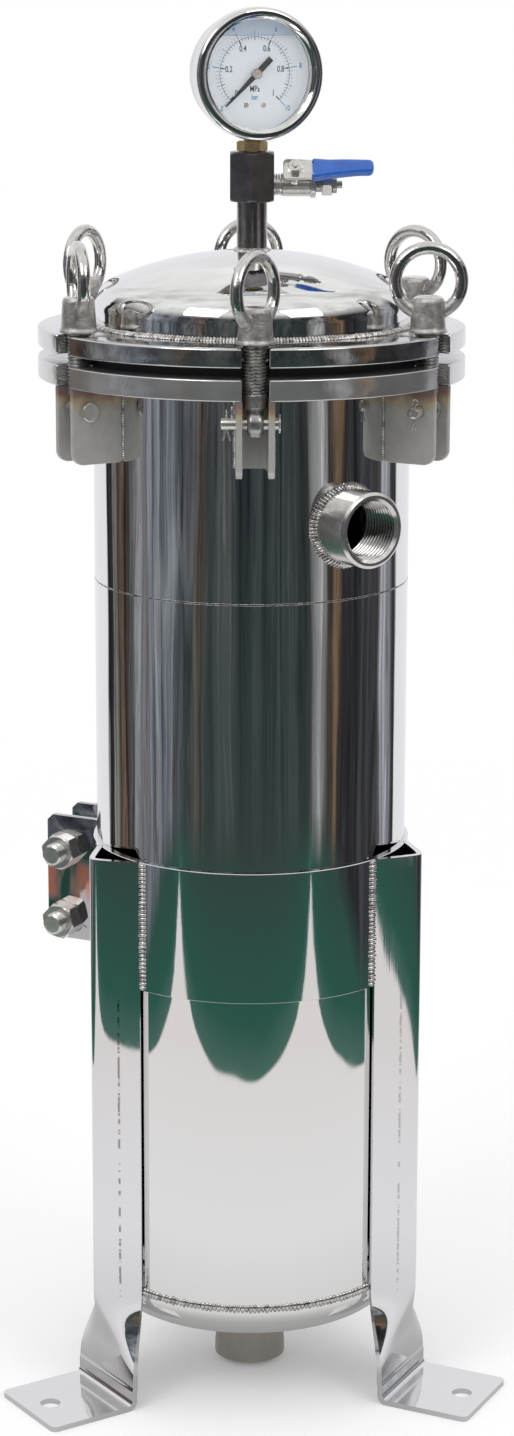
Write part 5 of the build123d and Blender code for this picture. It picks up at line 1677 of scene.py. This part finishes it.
def make_floor():
    """White paper that keeps the object's shadow; the steel mirrors the paper with a painted shadow of the object
    close by, and a green cloth beyond it in front.
    """
    bm = bmesh.new()
    bmesh.ops.create_grid(bm, x_segments=1, y_segments=1, size=30)
    mesh = mesh_of(bm, "floor")
    floor = linked("floor", mesh)
    made, net = shader("floor_paper", grey(0.97), roughness=0.9, Specular_IOR_Level=0.0)
    place = net.place()
    x, y, _ = net.parts(place)
    reach, turn = net.reach(x, y), net.azimuth(x, y)
    off_front = net.absolute(turn)
    half_phase = net.times(net.minus(turn, LOBE_TURN), pi / LOBE_PITCH)
    away = net.minus(1.0, net.absolute(net.math("COSINE", half_phase)))
    peak = net.times(net.math("POWER", away, 1.65), PEAK_RISE)
    spike = net.times(net.math("POWER", away, 12), SPIKE_RISE)
    lobe = net.minus(PAPER_LOBE, net.plus(peak, spike))
    ragged = net.spread(net.grain(place, 2.6, 1.0, 0.5), -0.012, 0.012, 0.3, 0.7)
    wavy = net.plus(reach, net.times(net.plus(lobe, ragged), net.spread(reach, 0, 1, 0.34, 0.56)))
    # painted shadow: as the steel mirrors it, the paper is painted dark close to the object and paler outwards
    sheet = net.ramp(net.spread(reach, 0, 1, 0, PAPER_EDGE), [
        (0.0, grey(0.30)), (0.16, grey(0.46)), (0.28, grey(0.76)), (0.48, (0.88, 0.88, 0.90)),
        (0.85, (0.85, 0.83, 0.83)), (1.0, (0.83, 0.79, 0.78))])
    cloth = net.ramp(net.spread(wavy, 0, 1, PAPER_EDGE, ROOM_EDGE), [
        (0.0, (0.080, 0.165, 0.140)), (0.18, (0.030, 0.110, 0.082)),
        (0.70, (0.038, 0.078, 0.066)), (1.0, (0.045, 0.062, 0.058))])
    rings = net.mixed(net.spread(wavy, 0, 1, PAPER_EDGE - 0.005, PAPER_EDGE + 0.005), sheet, cloth)
    behind = net.spread(off_front, 0, 1, PAPER_TURN, PAPER_TURN + radians(4))

    def emission(color):
        return net.add("ShaderNodeEmission", color).outputs[0]

    def blend(factor, first, second):
        return net.add("ShaderNodeMixShader", factor, first, second).outputs[0]

    mirror = emission(net.mixed(behind, rings, grey(0.92)))
    clear = net.nodes.new("ShaderNodeBsdfTransparent").outputs[0]
    flank = net.spread(off_front, 0, 0.42, radians(60), radians(84))
    faded = blend(net.spread(net.plus(reach, flank), 0, 1, CLOTH_EDGE, ROOM_EDGE), mirror, clear)
    paper = net.surface.outputs[0]
    lifted = net.add("ShaderNodeAddShader", paper, emission(grey(0.14))).outputs[0]
    far = blend(net.spread(reach, 0, 1, 0.6, 1.5), lifted, emission(grey(1.0)))
    rays = net.nodes.new("ShaderNodeLightPath").outputs
    seen = blend(rays["Is Camera Ray"], paper, far)
    net.put(net.nodes["Material Output"].inputs["Surface"], blend(rays["Is Glossy Ray"], seen, faded))
    mesh.materials.append(made)


LAMPS = (("lamp_left", (-1.5, -1.9, 2.3), 15), ("lamp_right", (1.7, -1.9, 2.3), 11))
LAMP_SIDE = 1.3
LAMP_TARGET = Vector((0, 0, 0.45))


def make_lamps():
    """Two soft boxes above the front, left and right."""
    for name, place, watts in LAMPS:
        light = bpy.data.lights.new(name, "AREA")
        light.shape = "SQUARE"
        light.size = LAMP_SIDE
        light.energy = watts
        lamp = linked(name, light)
        lamp.location = place
        lamp.rotation_euler = (LAMP_TARGET - Vector(place)).to_track_quat("-Z", "Y").to_euler()


# The camera fitted to the outlines: its focal length and frame in pixels, its place and its turns.
FOCAL_PIXELS, FRAME_PIXELS, SENSOR = 3254.9, 1436, 36.0
CAMERA_PLACE = (0, -1723.3 * MM, 777.2 * MM)
CAMERA_PAN, CAMERA_DOWN, CAMERA_ROLL = -0.109, 13.236, 0.141


def make_camera():
    """Camera on a tripod in front, looking a little down with a long lens."""
    view = bpy.data.cameras.new("camera")
    view.sensor_fit = "VERTICAL"
    view.sensor_height = SENSOR
    view.lens = FOCAL_PIXELS / FRAME_PIXELS * SENSOR
    view.clip_start = 0.05
    view.clip_end = 60
    camera = linked("camera", view)
    camera.location = CAMERA_PLACE
    turns = ((CAMERA_PAN, "Z"), (90 - CAMERA_DOWN, "X"), (CAMERA_ROLL, "Z"))
    pan, tilt, roll = [Matrix.Rotation(radians(angle), 4, axis) for angle, axis in turns]
    camera.rotation_euler = (pan @ tilt @ roll).to_euler()
    bpy.context.scene.camera = camera


for make in (
        make_shells, make_couplings, make_flanges, make_dome, make_lugs, make_pins, make_swing_bolts,
        make_eye_nuts, make_legs, make_band, make_clamp_bolts, make_riser_and_tee, make_gauge_shell,
        make_dial, make_pointer, make_valve, make_lever, make_inside, make_bag, make_welds, make_world,
        make_floor, make_lamps, make_camera):
    make()
bpy.context.scene.view_settings.view_transform = "Standard"
